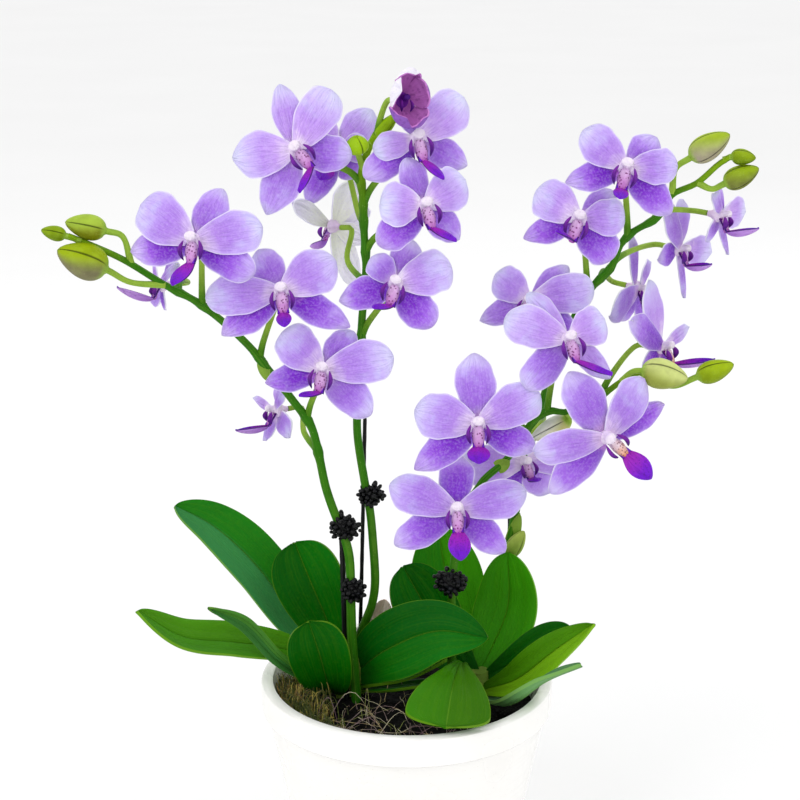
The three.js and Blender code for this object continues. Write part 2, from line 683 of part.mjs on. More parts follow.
// The blooms: joins is where the flower stalk leaves its spike, and at the bloom's centre, as column and row.
// Turn is to the right, tilt up and roll clockwise, in degrees. Each tepal has the column and row of its tip,
// then its width in columns and how square its end is, where these aren't the usual ones. The lip has the
// column and row of its tip and a share of its usual width. Heart is the size of the column and lip.
const BLOOMS = [
  {
    name: "bloom_left_1", spike: "left", joins: [201, 305], at: [194, 241], y: -24, turn: -8, tilt: 14,
    roll: -3, lip: [171, 281, 0.9],
    dorsal: [221, 189, 33], petalLeft: [141, 205, 47, 1], petalRight: [262, 228, 42, 0.6],
    sepalLeft: [129, 251, 38, 0], sepalRight: [252, 274, 34, 0.8],
  },
  {
    name: "bloom_left_2", spike: "left", joins: [261, 358], at: [281, 291], y: -19, turn: 4, tilt: 14,
    roll: -5, lip: [284, 322, 0.65],
    dorsal: [258, 250, 34], petalLeft: [206, 298, 40], petalRight: [335, 260, 46, 0.2],
    sepalLeft: [222, 335, 34, -0.5], sepalRight: [350, 327, 31, -0.6],
  },
  {
    name: "bloom_left_3", spike: "left", joins: [309, 420], at: [323, 370], y: -17, turn: -4, tilt: 14,
    roll: 6, lip: [301, 392, 0.6],
    dorsal: [353, 332, 33], petalLeft: [282, 333, 42, 0.9], petalRight: [393, 357, 43, 0.5],
    sepalLeft: [265, 383, 29, -0.4], sepalRight: [370, 415, 36, 0.4],
  },
  {
    name: "bloom_left_4", spike: "left", joins: [315, 456], via: [304, 432, 12], at: [277, 410], y: 22,
    turn: -66, tilt: 0, roll: 0, heart: 0.7, lip: [236, 428, 0.35],
    dorsal: [275, 384, 14, 0.2], petalLeft: [253, 398, 11, 0], petalRight: [283, 388, 14, 0],
    sepalLeft: [258, 442, 18, -0.5], sepalRight: [283, 438, 20, 0],
  },
  {
    name: "bloom_left_5", spike: "left", joins: [178, 291], at: [161, 285], y: 20, turn: -68, tilt: 0,
    roll: -10, heart: 0.6, lip: [118, 285, 0.35],
    dorsal: [168, 258, 12], petalLeft: [154, 264, 10], petalRight: [176, 264, 10],
    sepalLeft: [129, 321, 24, -0.3], sepalRight: [158, 310, 14],
  },
  {
    name: "bloom_middle_1", spike: "middle", joins: [361, 183], at: [296, 150], y: -17, turn: 6, tilt: 12,
    roll: -37, lip: [297, 189, 0.6],
    dorsal: [280, 84, 28, 0], petalLeft: [233, 158, 45, -0.3], petalRight: [331, 90, 40, 1],
    sepalLeft: [267, 214, 38, -0.5], sepalRight: [352, 155, 36, 0.4],
  },
  {
    name: "bloom_middle_2", spike: "middle", joins: [363, 222], via: [358, 212, 24], at: [338, 152], y: 20,
    turn: -10, tilt: 10, roll: 20, heart: 0.8,
    dorsal: [371, 110, 34, 0.2], petalLeft: [308, 122], petalRight: [368, 146, 30],
    sepalLeft: [306, 202, 28, 0.3], sepalRight: [356, 176, 30, 0.3],
  },
  {
    name: "bloom_middle_3", spike: "middle", joins: [366, 284], via: [347, 258, 24], at: [332, 226], y: 30,
    turn: -130, tilt: 0, roll: 0, heart: 0.7,
    dorsal: [350, 181, 24, 0.3], petalLeft: [368, 210, 26, 0.3], petalRight: [293, 203, 20, 0.4],
    sepalLeft: [352, 284, 28, 0.3], sepalRight: [362, 240, 22, 0],
  },
  {
    name: "bloom_middle_4", spike: "middle", joins: [382, 129], at: [402, 100], y: -16, turn: 32, tilt: 8,
    roll: 5, cup: true, heart: 0.6,
  },
  {
    name: "bloom_middle_5", spike: "middle", joins: [363, 205], at: [417, 139], y: -10, turn: 10, tilt: 12,
    roll: -8, lip: [444, 175, 0.5],
    dorsal: [410, 106, 26], petalLeft: [374, 150, 27, 0.3], petalRight: [464, 98, 43, 0.7],
    sepalLeft: [366, 177, 32, 0.4], sepalRight: [468, 165, 30, 0],
  },
  {
    name: "bloom_middle_6", spike: "middle", joins: [365, 252], at: [424, 206], y: -20, turn: 14, tilt: 12,
    roll: -8, lip: [456, 237, 0.5],
    dorsal: [408, 158, 28], petalLeft: [381, 204, 42, 0.8], petalRight: [465, 180, 41, 0.7],
    sepalLeft: [381, 245, 35, 0.5], sepalRight: [461, 239, 31, 0],
  },
  {
    name: "bloom_middle_7", spike: "middle", joins: [363, 339], at: [396, 284], y: -16, turn: -4, tilt: 14,
    roll: 12, lip: [375, 304, 0.6],
    dorsal: [412, 240, 31], petalLeft: [372, 257, 28, 0.3], petalRight: [451, 267, 43, 0.8],
    sepalLeft: [339, 301, 33, -0.4], sepalRight: [432, 326, 36, 0.6],
  },
  {
    name: "bloom_right_1", spike: "low", joins: [527, 431], at: [478, 424], y: -24, turn: 0, tilt: 12,
    roll: 0, lip: [479, 459],
    dorsal: [474, 354, 41], petalLeft: [415, 411, 46, 0.3], petalRight: [539, 393, 42, 0.6],
    sepalLeft: [415, 470, 35, -0.4], sepalRight: [535, 450, 34, 0.2],
  },
  {
    name: "bloom_right_2", spike: "low", joins: [484, 498], at: [457, 510], y: -22, turn: 0, tilt: 18,
    roll: -2, lip: [461, 557],
    dorsal: [456, 454, 36, 0.2], petalLeft: [390, 485, 41, 0.2], petalRight: [526, 492, 40, 0.2],
    sepalLeft: [395, 545, 34, 0.2], sepalRight: [505, 552, 32, 0.2],
  },
  {
    name: "bloom_right_3", spike: "low", joins: [586, 405], at: [606, 437], y: -26, turn: 22, tilt: 0,
    roll: -45, lip: [650, 477],
    dorsal: [569, 369, 42, 0.1], petalLeft: [533, 453, 33, 0.3], petalRight: [644, 379, 36, 0.3],
    sepalLeft: [551, 497, 34, 0.2], sepalRight: [667, 406, 28, -0.2],
  },
  {
    name: "bloom_right_4", spike: "low", joins: [543, 400], at: [568, 339], y: -18, turn: 10, tilt: 14,
    roll: -10, lip: [612, 371, 0.55],
    dorsal: [530, 293, 24, 0.2], petalLeft: [506, 319, 41, 0.5], petalRight: [604, 319, 39, 1],
    sepalLeft: [527, 388, 34, 0.8], sepalRight: [612, 378, 24, 0],
  },
  {
    name: "bloom_right_5", spike: "right", joins: [560, 350], at: [530, 301], y: 4, turn: -14, tilt: 10,
    roll: 12, heart: 0.8,
    dorsal: [567, 267, 25], petalLeft: [496, 274, 35, 0.4], petalRight: [593, 288, 40, 0.7],
    sepalLeft: [479, 321, 26, -0.5], sepalRight: [575, 345],
  },
  {
    name: "bloom_right_6", spike: "right", joins: [588, 293], at: [580, 219], y: -12, turn: -10, tilt: 12,
    roll: 15, lip: [559, 228, 0.55],
    dorsal: [614, 192, 27], petalLeft: [537, 190, 41, 0.6], petalRight: [624, 216, 36, 1],
    sepalLeft: [523, 238, 27, -0.6], sepalRight: [610, 260, 36, 1],
  },
  {
    name: "bloom_right_7", spike: "right", joins: [631, 234], at: [626, 168], y: -20, turn: -4, tilt: 14,
    roll: 12, lip: [621, 194, 0.65],
    dorsal: [657, 137, 31], petalLeft: [583, 131, 37, 0.3], petalRight: [677, 166, 34, 0.7],
    sepalLeft: [566, 182, 29, -0.6], sepalRight: [671, 213, 32, 0.2],
  },
  {
    name: "bloom_right_8", spike: "right", joins: [614, 264], at: [679, 249], y: 24, turn: 55, tilt: -4,
    roll: 0, heart: 0.7, lip: [711, 262, 0.6],
    dorsal: [689, 201, 22, 0.2], petalLeft: [667, 206, 24, 0.3], petalRight: [719, 253, 32, 0.4],
    sepalLeft: [664, 260, 22, 0], sepalRight: [691, 299, 11, -0.5],
  },
  {
    name: "bloom_right_9", spike: "right", joins: [655, 219], at: [719, 215], y: 12, turn: 60, tilt: -4,
    roll: 0, heart: 0.7, lip: [758, 226, 0.45],
    dorsal: [728, 191, 18], petalLeft: [715, 194, 16], petalRight: [756, 210, 32, 0.4],
    sepalLeft: [716, 234, 14, 0], sepalRight: [734, 257, 11, -0.5],
  },
  {
    name: "bloom_right_10", spike: "right", joins: [606, 274], at: [637, 288], y: 34, turn: 62, tilt: -8,
    roll: 0, heart: 0.6,
    dorsal: [638, 237, 16], petalLeft: [611, 316, 30, 0.2], petalRight: [650, 262, 14],
    sepalLeft: [626, 322, 22, 0.2], sepalRight: [648, 330, 20, 0.2],
  },
  {
    name: "bloom_right_11", spike: "low", joins: [604, 394], at: [661, 347], y: 11, turn: 58, tilt: 4,
    roll: -10, heart: 0.8, lip: [715, 357, 0.5],
    dorsal: [655, 281, 27, 0.2], petalLeft: [618, 308, 30, 0.2], petalRight: [688, 327, 16, 0.2],
    sepalLeft: [650, 374, 20], sepalRight: [676, 378, 18],
  },
  {
    name: "bloom_right_12", spike: "low", joins: [540, 415], via: [541, 423, 28.5], at: [523, 462], y: 20,
    turn: 25, tilt: 8, roll: -10, heart: 0.8, lip: [537, 477, 0.6],
    dorsal: [494, 412], petalLeft: [460, 467], petalRight: [586, 452, 40, 0.2], sepalLeft: [503, 500, 24],
    sepalRight: [552, 494, 34, 0],
  },
];

// The leaves: the rib's route as column, row and depth y, the way the upper face looks, and the width
const LEAVES = [
  {
    name: "leaf_left_high", on: "left", face: [0.35, -0.75, 0.8], width: 27, tip: 0.6,
    rib: [[343, 662.5, 14.7], [303, 630, 27], [258, 568, 33], [214, 527, 35], [175, 506, 35]],
  },
  {
    name: "leaf_left_back", on: "left", face: [-0.2, -1, 0.45], width: 32, root: 0.3, widest: 0.7,
    tip: 0.36,
    rib: [[341, 655, 11.5], [328, 622, 15], [311, 582, 17], [295, 543, 20]],
  },
  {
    name: "leaf_left_far", on: "left", face: [0.15, -0.45, 1], width: 20, tip: 0.7,
    rib: [[338, 678, 9.2], [292, 652, 1], [235, 643, -6], [182, 637, -14], [137, 611, -21]],
  },
  {
    name: "leaf_left_edge", on: "left", face: [-0.5, -0.6, 0.5], width: 7, root: 0.3, fold: 0.4, tip: 0.7,
    rib: [[325, 680.5, 2.6], [302, 672.5, -5.5], [279, 657, -11.5], [246, 624, -16], [208, 608, -18]],
  },
  {
    name: "leaf_left_front", on: "left", face: [-0.1, -1, 0.5], width: 27, root: 0.3, widest: 0.72,
    tip: 0.36,
    rib: [[332, 692, 6], [327, 680, -7], [320, 655, -13], [309, 622, -15]],
  },
  {
    name: "leaf_middle_front", on: "left", face: [-0.1, -1, 0.5], width: 31, root: 0.42, widest: 0.48,
    fold: 0.14, tip: 0.7,
    rib: [[357, 671, 10], [388, 649, -2], [438, 631, -12], [488, 638, -18]],
  },
  {
    name: "leaf_middle_under", on: "left", face: [-0.2, -0.1, 1], width: 11, root: 0.5,
    rib: [[360, 686, 9], [396, 679, 0], [426, 668, -2], [447, 659, -3]],
  },
  {
    name: "leaf_middle_low", on: "left", face: [0, -0.1, 1], width: 8, root: 0.5,
    rib: [[361, 690, 10], [390, 689, 0], [415, 686, -4], [434, 683, -7]],
  },
  {
    name: "leaf_right_left", on: "right", face: [0.2, -1, 0.3], width: 29, root: 0.3, widest: 0.66,
    tip: 0.4,
    rib: [[472, 676, 8.5], [448, 648, 13], [426, 608, 18], [403, 567, 22]],
  },
  {
    name: "leaf_right_back", on: "right", face: [0.1, -1, 0.3], width: 34, root: 0.25, widest: 0.65,
    rib: [[477, 668, 15], [462, 632, 37], [448, 585, 49], [438, 528, 58]],
  },
  {
    name: "leaf_right_tall", on: "right", face: [-0.35, -1, 0.3], width: 30, root: 0.2, widest: 0.5,
    rib: [[480, 671, 10.6], [492, 648, 19], [508, 606, 28], [508, 553, 33]],
  },
  {
    name: "leaf_right_inner", on: "right", face: [-0.3, -0.75, 0.8], width: 16,
    rib: [[489, 675, 6.5], [514, 662, 3], [543, 643, 0], [572, 629, -3]],
  },
  {
    name: "leaf_right_outer", on: "right", face: [-0.4, -0.7, 0.7], width: 17, widest: 0.5, tip: 0.75,
    rib: [[485, 690, 2], [518, 679, -13], [556, 650, -21], [594, 624, -27]],
  },
  {
    name: "leaf_right_thin", on: "right", face: [0, 0.15, 1], width: 13,
    rib: [[484, 699, 0], [510, 703, -25], [547, 679, -38], [581, 665, -44]],
  },
  {
    name: "leaf_right_front", on: "right", face: [0, -0.35, 1], width: 36, root: 0.08, widest: 0.92,
    fold: 0.1, tip: 0.35, spread: 4,
    rib: [[471, 681, 4], [462, 664, -8], [454, 682, -34], [446, 727, -61]],
  },
];

const CROWNS = { left: { at: seen(350, 694, 10), top: 112 }, right: { at: seen(478, 694, 8), top: 104 } };
const DRY_SHEATH = {
  name: "dry_sheath", on: "left", face: [0, -1, 0.2], width: 11, root: 0.4, tip: 0.4,
  rib: [[362, 673, 15], [375, 640, 26], [385, 600, 30]],
};

// The stakes, from the medium to the top, and the clips that hold the spikes to them
const STAKES = [
  {
    name: "stake_left", radius: 1.25,
    route: [[347, 705, 2], [346.6, 690, 2.2], [345, 640, 3.4], [341, 510, 5.2]],
  },
  {
    name: "stake_middle", radius: 0.9,
    route: [[358, 690, 28], [358.6, 676, 28], [361, 600, 21], [365, 416, 8]],
  },
  {
    name: "stake_right", radius: 0.9,
    route: [[495, 688, 27], [495.4, 674, 27.3], [503, 620, 43], [509, 540, 48], [510, 490, 48]],
  },
];
const CLIPS = [
  { name: "clip_left_high", at: [345, 528, -2], size: [16, 12, 13] },
  { name: "clip_left_low", at: [353, 590, -2], size: [12, 10, 13] },
  { name: "clip_middle", at: [371, 495, 4], size: [13, 11, 11] },
  { name: "clip_right", at: [450, 582, 0], size: [18, 11, 15] },
];

function routeOf(spike) {
  return standingPath(spike.route);
}

function spikeRadius(spike, s) {
  return THREE.MathUtils.lerp(spike.thick, spike.thin, s);
}

function stalk(points) {
  const radiusAt = (s) => PEDICEL.radius * (1 + PEDICEL.swell * (1 - s) ** 3);
  return tube(smoothPath(points), radiusAt, STALK_SIDES, STALK_STEPS);
}

// The flower stalk leaves the spike and ends behind the bloom's neck, a fine gap short of it
function pedicel(curve, spec) {
  const frame = bloomFrame(spec);
  const share = nearestOn(curve, seen(spec.joins[0], spec.joins[1], curve.getPointAt(FLOWERING_SHARE).y));
  const from = curve.getPointAt(share);
  const end = inFrame(frame, 0, 0, -NECK_LENGTH - FIT_GAP);
  const reach = from.distanceTo(end);
  const behind = Math.min(PEDICEL.behind, reach * PEDICEL.behindShare);
  const before = inFrame(frame, 0, 0, -NECK_LENGTH - FIT_GAP - behind);
  if (spec.via) return stalk([from, seen(...spec.via), before, end]);
  const out = before.clone().sub(from).normalize().add(new THREE.Vector3(0, 0, PEDICEL.rise)).normalize();
  const after = from.clone().addScaledVector(out, Math.min(PEDICEL.ahead, reach * PEDICEL.aheadShare));
  return stalk([from, after, before, end]);
}

// A bud and its stalk are one swelling tube: thin up to the bud's foot, fat past it, and a blunt point
function bud(spec) {
  const points = seenAll([spec.from, ...(spec.via ? [spec.via] : []), spec.at, spec.tip]);
  const curve = smoothPath(points);
  const foot = nearestOn(curve, points[points.length - 2]);
  const past = (share) => foot + (1 - foot) * share;
  const rings = [
    [0, PEDICEL.radius * (1 + PEDICEL.swell)],
    [foot * 0.5, PEDICEL.radius],
    [foot, PEDICEL.radius * BUD_FOOT],
    ...BUD_PROFILE.map(([share, girth]) => [past(share), spec.radius * girth]),
  ];
  return ringed(curve, rings, BUD_SIDES);
}

function bract(spec) {
  const from = seen(...spec.from);
  const tip = seen(...spec.tip);
  const face = new THREE.Vector3(0, -1, BRACT.leanBack).normalize();
  const side = new THREE.Vector3().crossVectors(tip.clone().sub(from).normalize(), face);
  const row = (s, half) => {
    const centre = from.clone().lerp(tip, s);
    return {
      points: [centre.clone().addScaledVector(side, -half), centre.clone().addScaledVector(side, half)],
      face,
    };
  };
  const rows = [row(0, spec.width * BRACT.root), row(BRACT.widest, spec.width * BRACT.shoulder)];
  return blade(rows, { point: tip, face }, BRACT.thickness);
}

function spikeBody(name) {
  const spike = SPIKES[name];
  const curve = routeOf(spike);
  const steps = Math.round(curve.getLength() / STEM_STEP);
  const stem = tube(curve, (s) => spikeRadius(spike, s), STEM_SIDES, steps);
  const stalks = BLOOMS.filter((spec) => spec.spike === name).map((spec) => pedicel(curve, spec));
  return join([stem, ...stalks, ...spike.buds.map(bud), ...spike.bracts.map(bract)]);
}

function stakeSteps(route) {
  return route.length + 1;
}

function stakeBody({ route, radius }) {
  return tube(standingPath(route), () => radius, STAKE_SIDES, stakeSteps(route));
}

// A claw clip: a rough knob with spurs all over it, and clear ways for what it holds
function clip(spec, seed, held) {
  const draw = seededDraws(seed);
  const centre = seen(...spec.at);
  const half = new THREE.Vector3(...spec.size).multiplyScalar(0.5);
  const ball = merged(new THREE.IcosahedronGeometry(1, 1));
  const place = ball.attributes.position;
  for (let i = 0; i < place.count; i++) {
    const reach = i % 2 ? CLIP_SPUR + draw() * CLIP_UNEVEN : CLIP_HOLLOW + draw() * CLIP_UNEVEN;
    const point = new THREE.Vector3().fromBufferAttribute(place, i).normalize().multiplyScalar(reach);
    place.setXYZ(i, point.x, point.y, point.z);
  }
  ball.scale(half.x, half.y, half.z).translate(centre.x, centre.y, centre.z);
  const ways = held.map(({ curve, radius, steps, sides }) =>
    solid(tube(curve, (s) => radius(s) + CLIP_GAP, sides, steps)),
  );
  const bodies = ways.reduce((body, way) => body.subtract(way), solid(ball)).decompose();
  bodies.sort((a, b) => b.volume() - a.volume());
  return geometryOf(bodies[0]);
}

const plant = new THREE.Group();

function add(name, geometry, material) {
  const mesh = new THREE.Mesh(geometry, material);
  mesh.name = name;
  plant.add(mesh);
}

function spikeHeld(name) {
  const spike = SPIKES[name];
  const curve = routeOf(spike);
  const steps = Math.round(curve.getLength() / STEM_STEP);
  return { curve, radius: (s) => spikeRadius(spike, s), steps, sides: STEM_SIDES };
}

function stakeHeld(index) {
  const { route, radius } = STAKES[index];
  return { curve: standingPath(route), radius: () => radius, steps: stakeSteps(route), sides: STAKE_SIDES };
}

const STANDING = [
  ...Object.values(CROWNS).map(({ at }) => ({ point: at, radius: CROWN_RADIUS + HOLE_EASE })),
  ...Object.values(SPIKES).map(({ route, thick }) => ({ point: seen(...route[0]), radius: thick + 2 * HOLE_EASE })),
  ...STAKES.map(({ route, radius }) => ({ point: seen(...route[0]), radius: radius + 2 * HOLE_EASE })),
];

add("pot", pot(), finish(COLOUR.glaze, 0.25));
add("potting_medium", medium(STANDING), finish(COLOUR.medium, 0.95));
for (const [side, spec] of Object.entries(CROWNS)) {
  add(`crown_${side}`, crown(spec, 0), finish(COLOUR.crown, 0.6));
}
add("dry_sheath", leaf(DRY_SHEATH), finish(COLOUR.dry, 0.8));
for (const spec of LEAVES) add(spec.name, leaf(spec), finish(COLOUR.leaf, 0.4));
for (const name of Object.keys(SPIKES)) add(`spike_${name}`, spikeBody(name), finish(COLOUR.stem, 0.5));
for (const spec of STAKES) add(spec.name, stakeBody(spec), finish(COLOUR.black, 0.4));
const CLIP_HOLDS = [
  [spikeHeld("left"), stakeHeld(0)],
  [spikeHeld("left"), stakeHeld(0)],
  [spikeHeld("middle"), stakeHeld(1)],
  [spikeHeld("low")],
];
CLIPS.forEach((spec, i) => {
  add(spec.name, clip(spec, CLIP_SEED + i, CLIP_HOLDS[i]), finish(COLOUR.black, 0.35));
});
for (const spec of BLOOMS) {
  const body = spec.cup ? cupBloom(spec) : bloom(spec);
  add(spec.name, body, finish(spec.cup ? COLOUR.magenta : COLOUR.violet, 0.55));
}

export default plant;
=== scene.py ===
"""A potted moth orchid: two plants in one plain round pot, four flower spikes, stakes and claw clips."""

import json
import logging
import math
import random
from dataclasses import dataclass, field
from enum import Enum
from typing import Callable, Optional, Sequence, Union

import bpy
import numpy as np
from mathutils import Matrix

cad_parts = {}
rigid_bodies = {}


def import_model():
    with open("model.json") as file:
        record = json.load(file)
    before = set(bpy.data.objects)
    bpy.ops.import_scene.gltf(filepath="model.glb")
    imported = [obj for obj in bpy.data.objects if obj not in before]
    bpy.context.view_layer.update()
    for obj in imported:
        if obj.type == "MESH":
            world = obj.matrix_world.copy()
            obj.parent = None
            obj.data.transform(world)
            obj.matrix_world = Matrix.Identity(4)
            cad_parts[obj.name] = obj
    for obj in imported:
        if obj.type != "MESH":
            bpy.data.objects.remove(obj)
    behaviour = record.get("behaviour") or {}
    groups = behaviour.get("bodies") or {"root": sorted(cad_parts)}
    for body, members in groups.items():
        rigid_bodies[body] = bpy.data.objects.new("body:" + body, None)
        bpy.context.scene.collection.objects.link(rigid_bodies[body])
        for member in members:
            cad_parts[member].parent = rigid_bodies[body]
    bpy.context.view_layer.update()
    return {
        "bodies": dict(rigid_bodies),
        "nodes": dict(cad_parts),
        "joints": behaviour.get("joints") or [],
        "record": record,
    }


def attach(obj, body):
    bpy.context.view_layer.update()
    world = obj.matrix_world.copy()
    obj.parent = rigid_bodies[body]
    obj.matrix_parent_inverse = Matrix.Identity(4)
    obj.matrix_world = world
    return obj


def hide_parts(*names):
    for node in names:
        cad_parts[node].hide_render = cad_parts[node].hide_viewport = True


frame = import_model()

log = logging.getLogger("orchid")

Vec = np.ndarray
Pixel = tuple[float, float]
Spot = tuple[float, float, float]
Colour = tuple[float, float, float, float]

MM = 0.001

# Sizes in millimetres that the pieces share
POT_HEIGHT = 105.0
MOUTH_RADIUS = 60.0
POT_WALL = 4.5
RIM_WALL = 5.5
RIM_DEPTH = 13.0
FOOT_RADIUS = 45.0
FLOOR_THICKNESS = 6.0
BAND_STEP = 3.0
BAND_CURVE = 2.0
FIT_GAP = 0.3
MEDIUM_TOP = 90.0
ROOT_DEPTH = 83.0
NECK_LENGTH = 5.0
PEDICEL_RADIUS = 1.2
TEPAL_START = 2.0
LIP_START = (0.0, -9.4, 6.0)
LIP_LENGTH = 13.0
LIP_MOST = 18.0
LIP_BEND = 1.0
# Points closer than this are one point
WELD_REACH = 0.002
# Columns of the picture to a millimetre, at the blooms
COLUMNS = 2.33
# The widest of a random turn, in radians
TURN = 6.28


def tone(red: float, green: float, blue: float) -> Colour:
    """Makes a shader colour of screen colours.

    Args:
        red: Red from 0 to 255.
        green: Green from 0 to 255.
        blue: Blue from 0 to 255.

    Returns:
        The colour in linear light, with full alpha.
    """
    def linear(value: float) -> float:
        """The linear share of a screen value."""
        share = value / 255
        return share / 12.92 if share <= 0.04045 else ((share + 0.055) / 1.055) ** 2.4

    return (linear(red), linear(green), linear(blue), 1.0)


def unit(vector: Vec) -> Vec:
    """The vector at length one."""
    return vector / np.linalg.norm(vector)


def smooth(values: Vec, low: float, high: float) -> Vec:
    """Eases numbers from 0 at low to 1 at high."""
    share = np.clip((values - low) / (high - low), 0, 1)
    return share * share * (3 - 2 * share)


def outline(share: Vec, root: float, widest: float, fullness: float, spread: float = 1.0) -> Vec:
    """Half of a blade's width, as a share of its widest.

    Args:
        share: Shares of the blade's length.
        root: Its width at the root.
        widest: Where it is widest.
        fullness: How round its tip is; less is rounder.
        spread: How late it widens; more is later.

    Returns:
        The half widths.
    """
    rise = root + (1 - root) * np.sin(np.pi / 2 * np.minimum(share / widest, 1)) ** spread
    past = np.clip((share - widest) / (1 - widest), 0, 1)
    return np.where(share < widest, rise, np.maximum(0, 1 - past * past) ** fullness)


def tepal_outline(share: Vec, root: float, widest: float, end: float) -> Vec:
    """Half of a tepal's width, as a share of its widest.

    Args:
        share: Shares of the tepal's length.
        root: Its width at the root.
        widest: Where it is widest.
        end: How square its end is; below nought it is pointed.

    Returns:
        The half widths.
    """
    rise = root + (1 - root) * (1 - np.maximum(0, 1 - share / widest) ** 1.7)
    past = np.clip((share - widest) / (1 - widest), 0, 1)
    power, full = 2 + 1.8 * max(end, 0), 0.7 - 0.2 * max(end, 0) + 0.25 * max(-end, 0)
    return np.where(share < widest, rise, np.maximum(0, 1 - past ** power) ** full)


@dataclass(frozen=True)
class Eye:
    """The eye that the plant is laid out from, with its picture of 800 pixels a side."""

    place: Spot = (-3.0, -774.0, 456.0)
    down: float = math.radians(16)
    focus: float = 1864.0
    middle: float = 400.0

    def sight(self, column: float, row: float) -> Vec:
        """Finds the direction from the eye through a place of its picture.

        Args:
            column: Column in the picture.
            row: Row in the picture.

        Returns:
            The direction, one long straight ahead.
        """
        right = (column - self.middle) / self.focus
        up = (self.middle - row) / self.focus
        cos, sin = math.cos(self.down), math.sin(self.down)
        return np.array([right, cos + up * sin, up * cos - sin])

    def seen(self, column: float, row: float, depth: float) -> Vec:
        """The point at a depth, which is its y in millimetres, that is seen at a column and row."""
        sight = self.sight(column, row)
        return np.array(self.place) + sight * (depth - self.place[1]) / sight[1]

    def on_plane(self, pixel: Pixel, point: Vec, normal: Vec) -> Vec:
        """Finds where the sight line of a pixel meets a plane.

        Args:
            pixel: Column and row in the picture.
            point: A point of the plane.
            normal: The way the plane faces.

        Returns:
            The point, in millimetres.
        """
        sight = self.sight(*pixel)
        reach = (point - np.array(self.place)) @ normal / (sight @ normal)
        return np.array(self.place) + sight * reach

    def breadth(self, way: Vec) -> float:
        """How much of a direction's length is seen."""
        ahead = self.sight(self.middle, self.middle)
        return float(np.linalg.norm(way - ahead * (way @ ahead)))


EYE = Eye()


class Route:
    """A smooth curve through points, measured along its length."""

    # Steps between two of its points, places looked at for the nearest, and the least gap between points
    fine: int = 48
    looks: int = 401
    least_gap: float = 1e-4

    def __init__(self, points: Sequence[Vec]) -> None:
        """Runs a centripetal curve through the points.

        Args:
            points: The points, in millimetres.
        """
        given = [np.asarray(point, float) for point in points]
        held = [2 * given[0] - given[1], *given, 2 * given[-1] - given[-2]]
        dense = []
        for index in range(1, len(held) - 2):
            dense.extend(self._stretch(held[index - 1:index + 3]))
        dense.append(given[-1])
        self.dense = np.array(dense)
        steps = np.linalg.norm(np.diff(self.dense, axis=0), axis=1)
        self.marks = np.concatenate([[0], np.cumsum(steps)])
        self.length = float(self.marks[-1])

    def _stretch(self, four: Sequence[Vec]) -> list[Vec]:
        """Runs the curve between the middle two of four points.

        Args:
            four: The points.

        Returns:
            The points of the curve, without its last.
        """
        gaps = [max(self.least_gap, float(np.linalg.norm(b - a)) ** 0.5) for a, b in zip(four, four[1:])]
        first = (four[1] - four[0]) / gaps[0] - (four[2] - four[0]) / (gaps[0] + gaps[1])
        first = (first + (four[2] - four[1]) / gaps[1]) * gaps[1]
        last = (four[2] - four[1]) / gaps[1] - (four[3] - four[1]) / (gaps[1] + gaps[2])
        last = (last + (four[3] - four[2]) / gaps[2]) * gaps[1]
        cubic = 2 * four[1] - 2 * four[2] + first + last
        square = -3 * four[1] + 3 * four[2] - 2 * first - last
        shares = [step / self.fine for step in range(self.fine)]
        return [four[1] + first * t + square * t ** 2 + cubic * t ** 3 for t in shares]

    def at(self, share: Union[float, Vec]) -> Vec:
        """The point or points at shares of the length."""
        place = np.asarray(share) * self.length
        return np.stack([np.interp(place, self.marks, self.dense[:, k]) for k in range(3)], axis=-1)

    def along(self, share: float) -> Vec:
        """The direction of travel at a share of the length."""
        step = 0.004
        return unit(self.at(min(1.0, share + step)) - self.at(max(0.0, share - step)))

    def nearest(self, point: Vec) -> float:
        """Finds where the curve passes nearest to a point.

        Args:
            point: The point.

        Returns:
            The share of the length there.
        """
        shares = np.linspace(0, 1, self.looks)
        away = np.linalg.norm(self.at(shares) - point, axis=1)
        return float(shares[int(np.argmin(away))])

    def frames(self, shares: Vec) -> tuple[Vec, Vec, Vec]:
        """Carries a pair of crossways directions along the curve.

        Args:
            shares: Shares of the length, in order.

        Returns:
            The centres and the two crossways directions at each.
        """
        normal = np.array([0.3, 1, 0.2])
        normals, sides = [], []
        for share in shares:
            along = self.along(float(share))
            normal = unit(normal - along * (normal @ along))
            normals.append(normal)
            sides.append(np.cross(along, normal))
        return self.at(shares), np.array(normals), np.array(sides)


